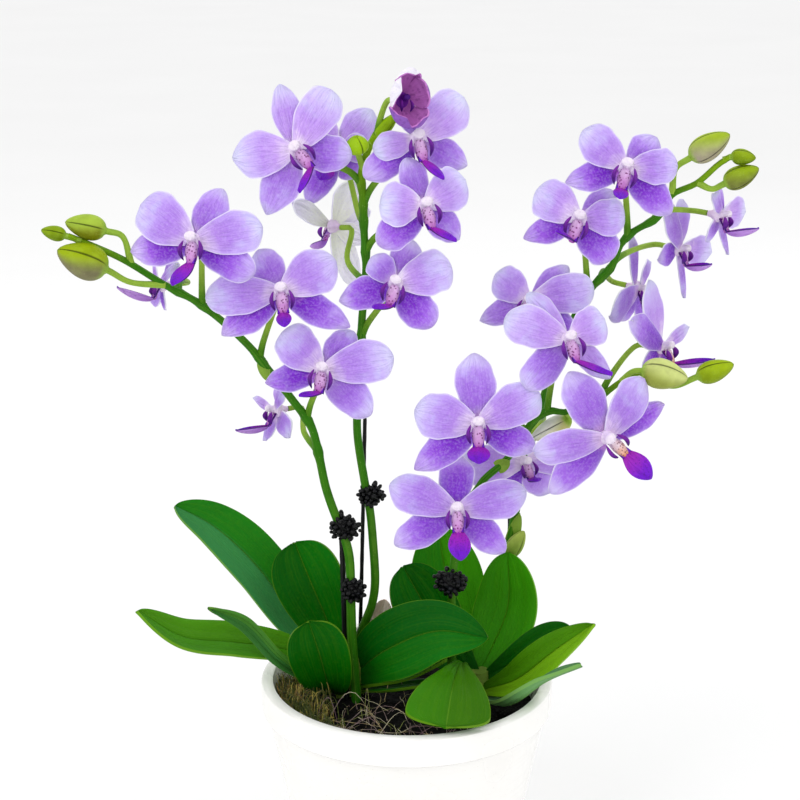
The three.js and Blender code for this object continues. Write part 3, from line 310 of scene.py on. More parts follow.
class Form:
    """A mesh object while it is being shaped. Its places are given in millimetres."""

    def __init__(self, obj: bpy.types.Object) -> None:
        """Takes over a mesh.

        Args:
            obj: The object that holds it.
        """
        self.obj = obj
        self.shares = np.zeros(0)
        self.outward = np.zeros((0, 3))
        self.turn = np.zeros(0)
        self.sheet_faces = 0

    @staticmethod
    def clear() -> None:
        """Deselects everything, in object mode."""
        if bpy.context.object and bpy.context.object.mode != "OBJECT":
            bpy.ops.object.mode_set(mode="OBJECT")
        bpy.ops.object.select_all(action="DESELECT")

    @classmethod
    def _begun(cls, make: Callable, **sizes: float) -> "Form":
        """Starts a form.

        Args:
            make: Adds the mesh that it starts from.
            sizes: How many faces and how large.

        Returns:
            The form.
        """
        cls.clear()
        make(**sizes)
        return cls(bpy.context.active_object)

    @classmethod
    def sheet(cls, across: int, along: int) -> "Form":
        """Starts a sheet from a grid that runs from -1 to 1 both ways, with its faces across and along."""
        grid = bpy.ops.mesh.primitive_grid_add
        return cls._begun(grid, x_subdivisions=across, y_subdivisions=along, size=2)

    @classmethod
    def ball(cls, sides: int, steps: int) -> "Form":
        """Starts a closed form from a sphere of radius one, with its faces round it and pole to pole."""
        return cls._begun(bpy.ops.mesh.primitive_uv_sphere_add, segments=sides, ring_count=steps, radius=1)

    @classmethod
    def pebble(cls, fineness: int) -> "Form":
        """Starts a small closed form from an icosphere of radius one, its faces divided so often."""
        return cls._begun(bpy.ops.mesh.primitive_ico_sphere_add, subdivisions=fineness, radius=1)

    @classmethod
    def strands(cls, routes: Sequence[Vec], radius: float, taper: float) -> "Form":
        """Makes many thin strands at once, as curves with a bevel.

        Args:
            routes: The points of each strand, in millimetres.
            radius: Radius at the root, in millimetres.
            taper: Share of the radius left at the end.

        Returns:
            The form.
        """
        cls.clear()
        curve = bpy.data.curves.new("strands", "CURVE")
        curve.dimensions = "3D"
        curve.bevel_depth = radius * MM
        curve.bevel_resolution = 0
        curve.use_fill_caps = True
        for points in routes:
            spline = curve.splines.new("POLY")
            spline.points.add(len(points) - 1)
            for index, point in enumerate(points):
                spline.points[index].co = (*(point * MM), 1)
                spline.points[index].radius = 1 - (1 - taper) * index / (len(points) - 1)
        obj = bpy.data.objects.new("strands", curve)
        bpy.context.scene.collection.objects.link(obj)
        bpy.context.view_layer.objects.active = obj
        obj.select_set(True)
        bpy.ops.object.convert(target="MESH")
        return cls(bpy.context.active_object)

    def grid(self) -> tuple[Vec, Vec]:
        """The shares of a sheet's points: across from -1 to 1, and along from 0 to 1."""
        place = self.places(1.0)
        return place[:, 0], (place[:, 1] + 1) / 2

    def globe(self) -> tuple[Vec, Vec]:
        """The turn of a ball's points round it, in radians, and their share from pole to pole."""
        place = self.places(1.0)
        turn = np.arctan2(place[:, 1], place[:, 0])
        return turn, np.arccos(np.clip(-place[:, 2], -1, 1)) / np.pi

    def places(self, scale: float = MM) -> Vec:
        """Reads where the points are.

        Args:
            scale: The unit to give them in, in metres.

        Returns:
            The points.
        """
        flat = np.empty(len(self.obj.data.vertices) * 3)
        self.obj.data.vertices.foreach_get("co", flat)
        return flat.reshape(-1, 3) / scale

    def put(self, places: Vec) -> "Form":
        """Moves the points.

        Args:
            places: Where they go, in millimetres.

        Returns:
            The form.
        """
        self.obj.data.vertices.foreach_set("co", (places * MM).ravel())
        self.obj.data.update()
        return self

    def uv(self, across: Vec, along: Vec) -> "Form":
        """Sets the map that patterns follow.

        Args:
            across: A share across at each point.
            along: A share along at each point.

        Returns:
            The form.
        """
        mesh = self.obj.data
        layer = mesh.uv_layers.active or mesh.uv_layers.new(name="UVMap")
        layer.name = "UVMap"
        index = np.empty(len(mesh.loops), int)
        mesh.loops.foreach_get("vertex_index", index)
        layer.data.foreach_set("uv", np.stack([across[index], along[index]], axis=1).ravel())
        return self

    def wrap(self, turn: Vec, along: Vec) -> "Form":
        """Sets the map of a round form: its turn in radians across, and a share along."""
        return self.uv((turn / (2 * np.pi)) % 1, along)

    def tint(self, colour: Union[Colour, Vec]) -> "Form":
        """Gives the points the colour that their finish starts from.

        Args:
            colour: One colour for all, or one for each point.

        Returns:
            The form.
        """
        mesh = self.obj.data
        held = mesh.attributes.get("tint") or mesh.attributes.new("tint", "FLOAT_COLOR", "POINT")
        colours = np.broadcast_to(np.asarray(colour, float), (len(mesh.vertices), 4))
        held.data.foreach_set("color", colours.ravel())
        return self

    def finish(self, materials: Sequence[bpy.types.Material]) -> "Form":
        """Gives the form its materials, the first of them on every face.

        Args:
            materials: The materials.

        Returns:
            The form.
        """
        self.obj.data.materials.clear()
        for material in materials:
            self.obj.data.materials.append(material)
        return self

    def activate(self) -> None:
        """Selects this form alone."""
        self.clear()
        self.obj.select_set(True)
        bpy.context.view_layer.objects.active = self.obj

    def weld(self, outwards: bool = False) -> "Form":
        """Merges points that lie together.

        Args:
            outwards: Whether its faces are turned outwards too.

        Returns:
            The form.
        """
        self.activate()
        bpy.ops.object.mode_set(mode="EDIT")
        bpy.ops.mesh.select_all(action="SELECT")
        bpy.ops.mesh.remove_doubles(threshold=WELD_REACH * MM)
        if outwards:
            bpy.ops.mesh.normals_make_consistent(inside=False)
        bpy.ops.object.mode_set(mode="OBJECT")
        return self

    def thicken(self, thickness: float) -> "Form":
        """Gives a sheet its thickness, half to each side, and notes how many faces the sheet had.

        Args:
            thickness: In millimetres.

        Returns:
            The form.
        """
        self.activate()
        self.sheet_faces = len(self.obj.data.polygons)
        wall = self.obj.modifiers.new("wall", "SOLIDIFY")
        wall.thickness = thickness * MM
        wall.offset = 0
        bpy.ops.object.modifier_apply(modifier="wall")
        return self

    def backed(self, facing: Vec, back: int, rim: int) -> "Form":
        """Gives the back and the rim of a thickened sheet their own materials.

        Args:
            facing: The way the front looks.
            back: Material index of the back.
            rim: Material index of the rim.

        Returns:
            The form.
        """
        mesh = self.obj.data
        count = len(mesh.polygons)
        kinds = np.empty(count, int)
        mesh.polygons.foreach_get("material_index", kinds)
        normals = np.empty(count * 3)
        mesh.polygons.foreach_get("normal", normals)
        look = normals.reshape(-1, 3) @ facing
        sheet = self.sheet_faces
        first, second = look[:sheet].sum(), look[sheet:2 * sheet].sum()
        low = 0 if first < second else sheet
        kinds[low:low + sheet] = back
        kinds[2 * sheet:] = rim
        mesh.polygons.foreach_set("material_index", kinds)
        return self

    def copy(self) -> "Form":
        """Copies the form, with a mesh of its own.

        Returns:
            The copy.
        """
        twin = self.obj.copy()
        twin.data = self.obj.data.copy()
        bpy.context.scene.collection.objects.link(twin)
        return Form(twin)

    @classmethod
    def joined(cls, forms: Sequence["Form"]) -> "Form":
        """Joins forms into the first of them.

        Args:
            forms: The forms.

        Returns:
            The joined form.
        """
        cls.clear()
        for form in forms:
            form.obj.select_set(True)
        bpy.context.view_layer.objects.active = forms[0].obj
        if len(forms) > 1:
            bpy.ops.object.join()
        return cls(bpy.context.active_object)

    def piece(self, name: str, slot: str, *nodes: str, angle: float = 50) -> None:
        """Names the finished piece, smooths its faces and puts it on the plant.

        Args:
            name: The piece's name.
            slot: Not used.
            nodes: The solids that it stands for.
            angle: Faces that meet at less than this many degrees are shaded as one.
        """
        self.activate()
        bpy.ops.object.shade_smooth_by_angle(angle=math.radians(angle))
        self.obj.name = name
        self.obj.data.name = name
        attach(self.obj, "root")
        if nodes:
            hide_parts(*nodes)
        log.info("%s: %d faces", name, len(self.obj.data.polygons))


Crease = Callable[[Vec, Vec], Vec]


def tube(
    route: Route, radius: Callable[[Vec], Vec], sides: int, steps: int, flat_ends: int = 2,
    crease: Optional[Crease] = None,
) -> Form:
    """Makes a closed round tube along a route.

    Args:
        route: The curve that it follows.
        radius: Gives the radii at shares of the length, in millimetres.
        sides: Faces round it.
        steps: Faces along it.
        flat_ends: 2 where both ends are flat, and 1 where only the first is.
        crease: Gives what the radii are multiplied by, at a turn round it and a share of its length.

    Returns:
        The form, which notes at each point its share of the length, its turn and the way out.
    """
    form = Form.ball(sides, steps)
    turn, polar = form.globe()
    ring = np.rint(polar * steps).astype(int)
    shares = np.clip((np.arange(steps + 1) - 1) / (steps - flat_ends), 0, 1)
    centres, normals, crossways = route.frames(shares)
    radii = radius(shares)
    radii[0] = radii[-1] = 0
    form.shares, form.turn = shares[ring], turn
    form.outward = normals[ring] * np.cos(turn)[:, None] + crossways[ring] * np.sin(turn)[:, None]
    reach = radii[ring] * crease(turn, form.shares) if crease else radii[ring]
    form.put(centres[ring] + form.outward * reach[:, None])
    return form.wrap(turn, form.shares)


def around(turn: Union[float, Vec], away: Union[float, Vec], height: Union[float, Vec]) -> Vec:
    """Points at a turn round the upright axis, a distance away from it and a height."""
    return np.stack([np.cos(turn) * away, np.sin(turn) * away, height], axis=-1)


class Value:
    """A number that changes over a surface, with Python's own operators."""

    def __init__(self, painter: "Painter", socket: bpy.types.NodeSocket) -> None:
        """Takes the socket that gives the number."""
        self.painter = painter
        self.socket = socket

    def math(self, operation: str, *others: "Number") -> "Value":
        """The result of one Math node, given what it does and its other inputs."""
        node = self.painter.node("Math", {"operation": operation}, dict(enumerate((self, *others))))
        return Value(self.painter, node.outputs[0])

    def __add__(self, other: "Number") -> "Value":
        """The sum."""
        return self.math("ADD", other)

    __radd__ = __add__

    def __mul__(self, other: "Number") -> "Value":
        """The product."""
        return self.math("MULTIPLY", other)

    __rmul__ = __mul__

    def __sub__(self, other: "Number") -> "Value":
        """The difference."""
        return self.math("SUBTRACT", other)

    def __rsub__(self, other: float) -> "Value":
        """A number less this one."""
        return (self * -1) + other

    def __pow__(self, other: float) -> "Value":
        """The power."""
        return self.math("POWER", other)

    def __abs__(self) -> "Value":
        """The size without its sign."""
        return self.math("ABSOLUTE")

    def sine(self) -> "Value":
        """The sine."""
        return self.math("SINE")

    def between(self, low: float, high: float) -> "Value":
        """Eases from 0 to 1.

        Args:
            low: Where the ease starts.
            high: Where it ends.

        Returns:
            The share.
        """
        settings = {"interpolation_type": "SMOOTHSTEP"}
        inputs = {"Value": self, "From Min": low, "From Max": high}
        return Value(self.painter, self.painter.node("MapRange", settings, inputs).outputs[0])


Number = Union[float, Value]
Paint = Union[Colour, bpy.types.NodeSocket]


class Painter:
    """Builds one material out of nodes."""

    def __init__(self, name: str, **constants: Union[float, Colour]) -> None:
        """Starts a material.

        Args:
            name: Its name.
            constants: Values for the shader's own sockets, with _ for a space in their names.
        """
        self.material = bpy.data.materials.new(name)
        self.material.use_nodes = True
        self.tree = self.material.node_tree
        self.tree.nodes.clear()
        self.shader = self.node("BsdfPrincipled", {}, {})
        for key, constant in constants.items():
            self.shader.inputs[key.replace("_", " ")].default_value = constant
        self.node("OutputMaterial", {}, {"Surface": self.shader.outputs[0]})

    def node(self, kind: str, settings: dict, inputs: dict) -> bpy.types.Node:
        """Adds a node.

        Args:
            kind: Its type, without the leading ShaderNode.
            settings: What is set on the node, before its inputs.
            inputs: Values or links for its sockets, by name or number.

        Returns:
            The node.
        """
        node = self.tree.nodes.new("ShaderNode" + kind)
        for key, setting in settings.items():
            if key == "stops":
                self._stops(node, setting)
            else:
                setattr(node, key, setting)
        self._feed(node, inputs)
        return node

    def _feed(self, node: bpy.types.Node, inputs: dict) -> None:
        """Links or sets a node's sockets.

        Args:
            node: The node.
            inputs: Values or links for its sockets, by name or number.
        """
        for key, given in inputs.items():
            given = given.socket if isinstance(given, Value) else given
            if isinstance(given, bpy.types.NodeSocket):
                self.tree.links.new(given, node.inputs[key])
            else:
                node.inputs[key].default_value = given

    @staticmethod
    def _stops(node: bpy.types.Node, stops: Sequence[tuple[float, Colour]]) -> None:
        """Sets a ramp's colours.

        Args:
            node: The ramp.
            stops: The places and colours, in order.
        """
        held = node.color_ramp.elements
        while len(held) < len(stops):
            held.new(0.5)
        for element, (place, colour) in zip(held, stops):
            element.position = place
            element.color = colour

    def ramp(self, value: Number, *stops: tuple[float, Colour]) -> bpy.types.NodeSocket:
        """A colour that changes with a value."""
        return self.node("ValToRGB", {"stops": stops}, {0: value}).outputs[0]

    def mix(self, share: Number, low: Paint, high: Paint) -> bpy.types.NodeSocket:
        """Mixes two colours by a share."""
        return self.node("Mix", {"data_type": "RGBA"}, {0: share, 6: low, 7: high}).outputs[2]

    def shade(self, colour: Paint, by: Number) -> bpy.types.NodeSocket:
        """Multiplies a colour by a number."""
        node = self.node("VectorMath", {"operation": "SCALE"}, {0: colour, "Scale": by})
        return node.outputs[0]

    def place(self) -> bpy.types.NodeSocket:
        """The place on the object, in metres."""
        return self.node("TexCoord", {}, {}).outputs["Object"]

    def map(self) -> tuple[Value, Value]:
        """Reads the piece's own map.

        Returns:
            The shares across and along.
        """
        uv = self.node("UVMap", {"uv_map": "UVMap"}, {}).outputs[0]
        parts = self.node("SeparateXYZ", {}, {0: uv})
        return Value(self, parts.outputs[0]), Value(self, parts.outputs[1])

    def tint(self) -> bpy.types.NodeSocket:
        """The colour that the points carry."""
        settings = {"attribute_type": "GEOMETRY", "attribute_name": "tint"}
        return self.node("Attribute", settings, {}).outputs["Color"]

    def depth(self) -> Value:
        """How deep the points say that their colour is."""
        return Value(self, self.tint().node.outputs["Alpha"])

    def times_tint(self, colour: Paint) -> bpy.types.NodeSocket:
        """A colour multiplied by the colour that the points carry."""
        settings = {"data_type": "RGBA", "blend_type": "MULTIPLY"}
        return self.node("Mix", settings, {0: 1.0, 6: colour, 7: self.tint()}).outputs[2]

    def noise(self, scale: float, detail: float = 2, vector: Optional[bpy.types.NodeSocket] = None) -> Value:
        """Cloudy noise.

        Args:
            scale: How many clouds to a metre, or to a unit of the vector.
            detail: How much fine detail it has.
            vector: Where it is read, or None for the place on the object.

        Returns:
            The noise, from 0 to 1.
        """
        at = self.place() if vector is None else vector
        inputs = {"Vector": at, "Scale": scale, "Detail": detail}
        return Value(self, self.node("TexNoise", {}, inputs).outputs[0])

    def stretched(self, across: Number, along: Number) -> bpy.types.NodeSocket:
        """A vector of two numbers, for a pattern that runs along a piece."""
        return self.node("CombineXYZ", {}, {0: across, 1: along}).outputs[0]

    def cells(self, scale: float) -> Value:
        """The distance to the nearest of many scattered points, in cells of a scale to the metre."""
        inputs = {"Vector": self.place(), "Scale": scale}
        return Value(self, self.node("TexVoronoi", {}, inputs).outputs[0])

    def done(self, colour: Paint, height: Number, relief: float, roughness: Number) -> bpy.types.Material:
        """Links what changes over the surface and gives the material.

        Args:
            colour: The base colour.
            height: What the bump follows.
            relief: The height of the bump, in metres.
            roughness: The roughness.

        Returns:
            The material.
        """
        bump = self.node("Bump", {}, {"Strength": 1.0, "Distance": relief, "Height": height})
        self._feed(self.shader, {"Base Color": colour, "Roughness": roughness, "Normal": bump.outputs[0]})
        return self.material


WHITE = tone(250, 248, 255)
BLACK = tone(14, 14, 18)
PLAIN = (1.0, 1.0, 1.0, 1.0)
MOSS_TINTS = (tone(190, 172, 80), tone(96, 108, 30), tone(44, 52, 18), tone(140, 110, 52))
STRAW_TINTS = (tone(236, 226, 190), tone(204, 182, 130), tone(156, 166, 84), tone(150, 118, 110))


@dataclass(frozen=True)
class TepalFinish:
    """A sepal or petal: pale round the throat, coloured past it and paling to a thin white edge.

    The alpha of its tint says how deep the colour is.
    """

    name: str

    def material(self) -> bpy.types.Material:
        """Builds the finish."""
        paint = Painter(self.name, Specular_IOR_Level=0.25)
        across, along = paint.map()
        aside = abs(across * 2 - 1)
        cloud, broad = paint.noise(330, 3), paint.noise(85, 2)
        reach = along + (cloud - 0.5) * 0.24 + (broad - 0.5) * 0.5
        pale = paint.ramp(
            reach, (0.0, tone(252, 244, 254)), (0.13, tone(232, 208, 250)), (0.26, tone(200, 160, 240)),
            (0.46, tone(189, 147, 236)), (0.74, tone(203, 180, 244)), (1.0, tone(219, 219, 251)),
        )
        deep = paint.ramp(
            reach, (0.0, tone(190, 110, 222)), (0.14, tone(114, 20, 196)), (0.42, tone(126, 40, 204)),
            (0.7, tone(156, 90, 225)), (1.0, tone(208, 186, 247)),
        )
        colour = paint.mix(paint.depth(), pale, deep)
        colour = paint.mix((aside ** 4) * 0.4, colour, tone(212, 200, 250))
        vein = paint.noise(1.0, 1, paint.stretched(across * 54, along * 3)).between(0.5, 0.68)
        fade = 1 - along.between(0.5, 1.0)
        colour = paint.mix(vein * fade * 0.12, colour, tone(120, 62, 212))
        patch = paint.noise(150, 3).between(0.5, 0.72) * along.between(0.25, 0.8)
        colour = paint.mix(patch * (0.45 - paint.depth() * 0.3), colour, tone(210, 218, 252))
        fleck = paint.noise(1100, 3).between(0.4, 0.7)
        colour = paint.mix(fleck * 0.16, colour, tone(232, 214, 255))
        edge = (aside + along.between(0.8, 1.0) * 0.05).between(0.9, 1.0)
        colour = paint.mix(edge * 0.55, colour, WHITE)
        relief = vein * 0.5 + fleck * 0.2 + cloud * 0.4
        return paint.done(paint.times_tint(colour), relief, 0.0002, 0.55 + cloud * 0.12)


@dataclass(frozen=True)
class PlainPetalFinish:
    """A back, rim, column or other small part of a bloom: two colours with clouds and fine specks."""

    name: str
    low: Colour
    high: Colour
    speck: Colour
    speck_size: float = 900
    speck_share: float = 0.3

    def material(self) -> bpy.types.Material:
        """Builds the finish."""
        paint = Painter(self.name, Specular_IOR_Level=0.3)
        across, along = paint.map()
        cloud = paint.noise(420, 3)
        colour = paint.mix((along + (cloud - 0.5) * 0.5).between(0.05, 0.9), self.low, self.high)
        speck = 1 - paint.cells(self.speck_size).between(0.2, 0.4)
        colour = paint.mix(speck * self.speck_share, colour, self.speck)
        line = paint.noise(1.0, 2, paint.stretched(across * 34, along * 2)).between(0.5, 0.7)
        colour = paint.mix(line * 0.25, colour, self.high)
        return paint.done(paint.times_tint(colour), line + speck * 0.4, 0.00015, 0.5 + cloud * 0.1)


@dataclass(frozen=True)
class LeafFinish:
    """A leathery strap leaf: a pale rib line, fine veins along it, a thin light edge, and painted shade over
    one half and at the root.
    """

    name: str
    under: bool = False

    def material(self) -> bpy.types.Material:
        """Builds the finish."""
        paint = Painter(self.name, Specular_IOR_Level=0.08)
        across, along = paint.map()
        aside = abs(across * 2 - 1)
        cloud = paint.noise(24, 3)
        vein = paint.noise(1.0, 2, paint.stretched(across * 36, along * 1.6)).between(0.42, 0.7)
        fleck = paint.noise(700, 3).between(0.45, 0.8)
        body = paint.tint()
        pale = paint.mix(0.35, body, tone(150, 200, 20))
        dark = paint.shade(body, 0.5)
        colour = paint.mix(cloud.between(0.3, 0.75) * 0.5, body, dark)
        colour = paint.mix(vein * 0.1, colour, pale)
        colour = paint.mix(fleck * 0.1, colour, pale)
        # Painted shade: the half of the leaf towards across 0 is painted darker.
        colour = paint.mix((1 - across) * 0.35, colour, dark)
        rib = 1 - aside.between(0.0, 0.035)
        colour = paint.mix(rib * 0.4, colour, tone(110, 160, 40))
        colour = paint.mix(aside.between(0.975, 1.0) * 0.35, colour, tone(140, 180, 40))
        # Painted shade: the root end of the leaf, where the leaves overlap at the crown, is painted darker.
        colour = paint.mix((1 - along.between(0.0, 0.25)) * 0.6, colour, dark)
        if self.under:
            colour = paint.mix(0.25, colour, tone(110, 160, 30))
        relief = vein * 0.5 + fleck * 0.25 - rib * 0.8
        return paint.done(colour, relief, 0.00025, 0.42 + cloud * 0.14 + fleck * 0.08)


@dataclass(frozen=True)
class StalkFinish:
    """Stems, stalks and buds: their tint, with lengthwise streaks, specks and, on buds, painted shade in dark
    crease lines.
    """

    name: str
    # How strong the painted shade along the buds' seams is
    crease: float = 0.0

    def material(self) -> bpy.types.Material:
        """Builds the finish."""
        paint = Painter(self.name, Specular_IOR_Level=0.12)
        across, along = paint.map()
        body = paint.tint()
        streak = paint.noise(1.0, 3, paint.stretched(across * 16, along * 5)).between(0.4, 0.72)
        cloud = paint.noise(190, 3)
        speck = paint.noise(1500, 1).between(0.66, 0.8)
        colour = paint.mix(streak * 0.22, body, paint.mix(0.4, body, tone(190, 220, 90)))
        colour = paint.mix(cloud.between(0.4, 0.75) * 0.4, colour, paint.shade(body, 0.55))
        colour = paint.mix(speck * 0.2, colour, tone(190, 215, 130))
        # Painted shade: dark lines along the seams between the bud's sepals, where shade falls in the
        # creases.
        seam = 1 - abs((across * (3 * math.pi) + 0.4).sine()).between(0.02, 0.14)
        line = seam * along.between(0.02, 0.2) * self.crease
        colour = paint.mix(line, colour, paint.shade(body, 0.18))
        return paint.done(colour, streak + speck * 0.5 - line * 1.5, 0.00018, 0.45 + cloud * 0.2)


@dataclass(frozen=True)
class GlazeFinish:
    """White glaze: faint clouds and pinholes, and soil just under the mouth."""

    name: str = "pot_glaze"

    def material(self) -> bpy.types.Material:
        """Builds the finish."""
        paint = Painter(self.name, Coat_Weight=0.5, Coat_Roughness=0.12)
        across, along = paint.map()
        cloud = paint.noise(26, 4)
        throwing = paint.noise(1.0, 2, paint.stretched(across * 2, along * 60))
        pit = 1 - paint.cells(420).between(0.04, 0.1)
        colour = paint.mix(cloud.between(0.3, 0.8) * 0.5, tone(248, 247, 244), tone(238, 236, 231))
        colour = paint.mix(pit * 0.3, colour, tone(200, 192, 178))
        soil = along.between(0.9, 0.94) * paint.noise(240, 4).between(0.42, 0.62)
        colour = paint.mix(soil * 0.7, colour, tone(72, 60, 44))
        relief = throwing * 0.6 - pit * 0.5 + cloud * 0.3
        return paint.done(colour, relief, 0.0002, 0.2 + cloud * 0.14 + soil * 0.5)


@dataclass(frozen=True)
class SoilFinish:
    """Dark fine bark and moss crumbs."""

    name: str = "medium_soil"

    def material(self) -> bpy.types.Material:
        """Builds the finish."""
        paint = Painter(self.name, Specular_IOR_Level=0.15)
        crumb = paint.cells(260)
        fine = paint.noise(700, 4)
        colour = paint.ramp(
            fine, (0.35, tone(3, 3, 3)), (0.52, tone(9, 7, 6)), (0.68, tone(24, 19, 12)),
            (0.8, tone(20, 26, 9)),
        )
        colour = paint.mix(crumb.between(0.0, 0.5) * 0.6, colour, tone(3, 3, 3))
        return paint.done(colour, crumb * 0.7 + fine, 0.0016, 0.85 + fine * 0.15)


@dataclass(frozen=True)
class FibreFinish:
    """Moss and dry straw: their tint, with another colour in patches, streaks and stains."""

    name: str
    other: Colour
    darken: float = 0.5

    def material(self) -> bpy.types.Material:
        """Builds the finish."""
        paint = Painter(self.name)
        cloud = paint.noise(300, 3)
        fine = paint.noise(1800, 2)
        body = paint.mix(paint.noise(110, 1).between(0.42, 0.58) * 0.8, paint.tint(), self.other)
        colour = paint.mix(cloud.between(0.4, 0.7) * self.darken, body, paint.shade(body, 0.4))
        colour = paint.mix(fine.between(0.5, 0.8) * 0.3, colour, paint.mix(0.5, body, WHITE))
        return paint.done(colour, fine, 0.0003, 0.75 + cloud * 0.2)


@dataclass(frozen=True)
class BlackFinish:
    """Dull black plastic with a fine grain and blue-grey worn spots."""

    name: str = "black_plastic"

    def material(self) -> bpy.types.Material:
        """Builds the finish."""
        paint = Painter(self.name, Specular_IOR_Level=0.25)
        cloud = paint.noise(240, 3)
        grain = paint.noise(2600, 2)
        wear = cloud.between(0.52, 0.72) * grain.between(0.35, 0.7)
        colour = paint.mix(wear * 0.45, tone(4, 4, 7), tone(44, 48, 64))
        return paint.done(colour, grain, 0.00012, 0.32 + cloud * 0.2)


@dataclass
class Palette:
    """Every finish of the plant, built once."""

    made: dict[str, bpy.types.Material] = field(default_factory=dict)

    def __post_init__(self) -> None:
        """Builds the finishes."""
        finishes = (
            TepalFinish("tepal"),
            PlainPetalFinish("young", tone(176, 92, 180), tone(198, 124, 204), tone(112, 30, 124), 500, 0.4),
            PlainPetalFinish(
                "young_back", tone(120, 62, 168), tone(146, 92, 190), tone(92, 26, 120), 500, 0.3,
            ),
            PlainPetalFinish("back", tone(238, 238, 228), tone(244, 240, 254), tone(220, 208, 242)),
            PlainPetalFinish("rim", tone(236, 232, 250), tone(246, 244, 255), tone(226, 214, 248)),
            PlainPetalFinish("lip", tone(160, 24, 180), tone(112, 0, 205), tone(86, 0, 140), speck_share=0.5),
            PlainPetalFinish("lip_under", tone(172, 116, 212), tone(196, 150, 230), tone(130, 60, 190)),
            PlainPetalFinish("lip_rim", tone(70, 0, 110), tone(60, 0, 120), tone(40, 0, 80)),
            PlainPetalFinish("lobe", tone(128, 34, 168), tone(78, 4, 132), tone(52, 0, 96)),
            PlainPetalFinish("column", tone(226, 198, 236), tone(246, 234, 250), tone(226, 198, 236)),
            PlainPetalFinish(
                "callus", tone(176, 72, 182), tone(230, 192, 236), tone(112, 6, 110), speck_size=820,
                speck_share=0.95,
            ),
            PlainPetalFinish(
                "callus_warm", tone(226, 140, 40), tone(244, 226, 240), tone(110, 20, 60), speck_size=950,
                speck_share=0.7,
            ),
            LeafFinish("leaf_top"),
            LeafFinish("leaf_under", under=True),
            StalkFinish("stalk_skin"),
            StalkFinish("bud_skin", crease=0.9),
            GlazeFinish(),
            SoilFinish(),
            FibreFinish("moss", tone(70, 88, 20), darken=0.3),
            FibreFinish("straw", tone(124, 92, 112)),
            FibreFinish("paper", tone(232, 196, 180), darken=0.1),
            BlackFinish(),
        )
        for finish in finishes:
            self.made[finish.name] = finish.material()

    def __call__(self, *names: str) -> list[bpy.types.Material]:
        """The finishes of some names."""
        return [self.made[name] for name in names]


Seen = tuple[float, ...]


class Opening(Enum):
    """How far a bloom has opened."""

    FULL = "full"
    CUP = "cup"


@dataclass(frozen=True)
class BloomSpec:
    """One bloom: its spike, where its stalk joins it, its centre, and how it is turned round, up and rolled.

    The tepals go clockwise from the dorsal sepal. Each is given by where its tip is seen: column and row,
    and then, where they differ from the usual, its width in columns, how square its end is and how deep
    its colour is. The lip is given by the column and row of its tip and, where it isn't the usual, a share
    of its width. Heart is the size of the column and lip. Turns are in degrees.
    """

    name: str
    spike: str
    joins: Pixel
    at: Spot
    turned: Spot
    lip: Seen = ()
    tepals: tuple[Seen, ...] = ()
    via: Optional[Spot] = None
    opening: Opening = Opening.FULL
    heart: float = 1.0
    callus: str = "callus"


@dataclass(frozen=True)
class LeafSpec:
    """One leaf: the route of its rib, the way its upper face looks, its shape and colours."""

    name: str
    face: Spot
    width: float
    rib: tuple[Spot, ...]
    root: float = 0.32
    widest: float = 0.62
    fold: float = 0.25
    tip: float = 0.5
    spread: float = 1.0
    near: Colour = tone(8, 98, 14)
    far: Optional[Colour] = None


@dataclass(frozen=True)
class BudSpec:
    """One bud: where its stalk starts, the bud's foot, its tip, and its colours below and above, which hold
    its own colour and also painted shade below and painted light above.
    """

    start: Spot
    at: Spot
    tip: Spot
    radius: float
    via: Optional[Spot] = None
    colour: Colour = tone(126, 146, 24)
    tip_colour: Colour = tone(160, 186, 50)


@dataclass(frozen=True)
class BractSpec:
    """One pointed bract on a stem."""

    start: Spot
    tip: Spot
    width: float


@dataclass(frozen=True)
class SpikeSpec:
    """One flower spike: its route from root to tip, its radii at both ends, and where it starts to pale."""

    name: str
    thick: float
    thin: float
    route: tuple[Spot, ...]
    buds: tuple[BudSpec, ...] = ()
    bracts: tuple[BractSpec, ...] = ()
    pales: float = 0.88


@dataclass(frozen=True)
class StakeSpec:
    """One stake, its route and its radius."""

    name: str
    route: tuple[Spot, ...]
    radius: float = 0.9


@dataclass(frozen=True)
class ClipSpec:
    """One claw clip: its middle and its size across, deep and high."""

    name: str
    at: Spot
    size: Spot


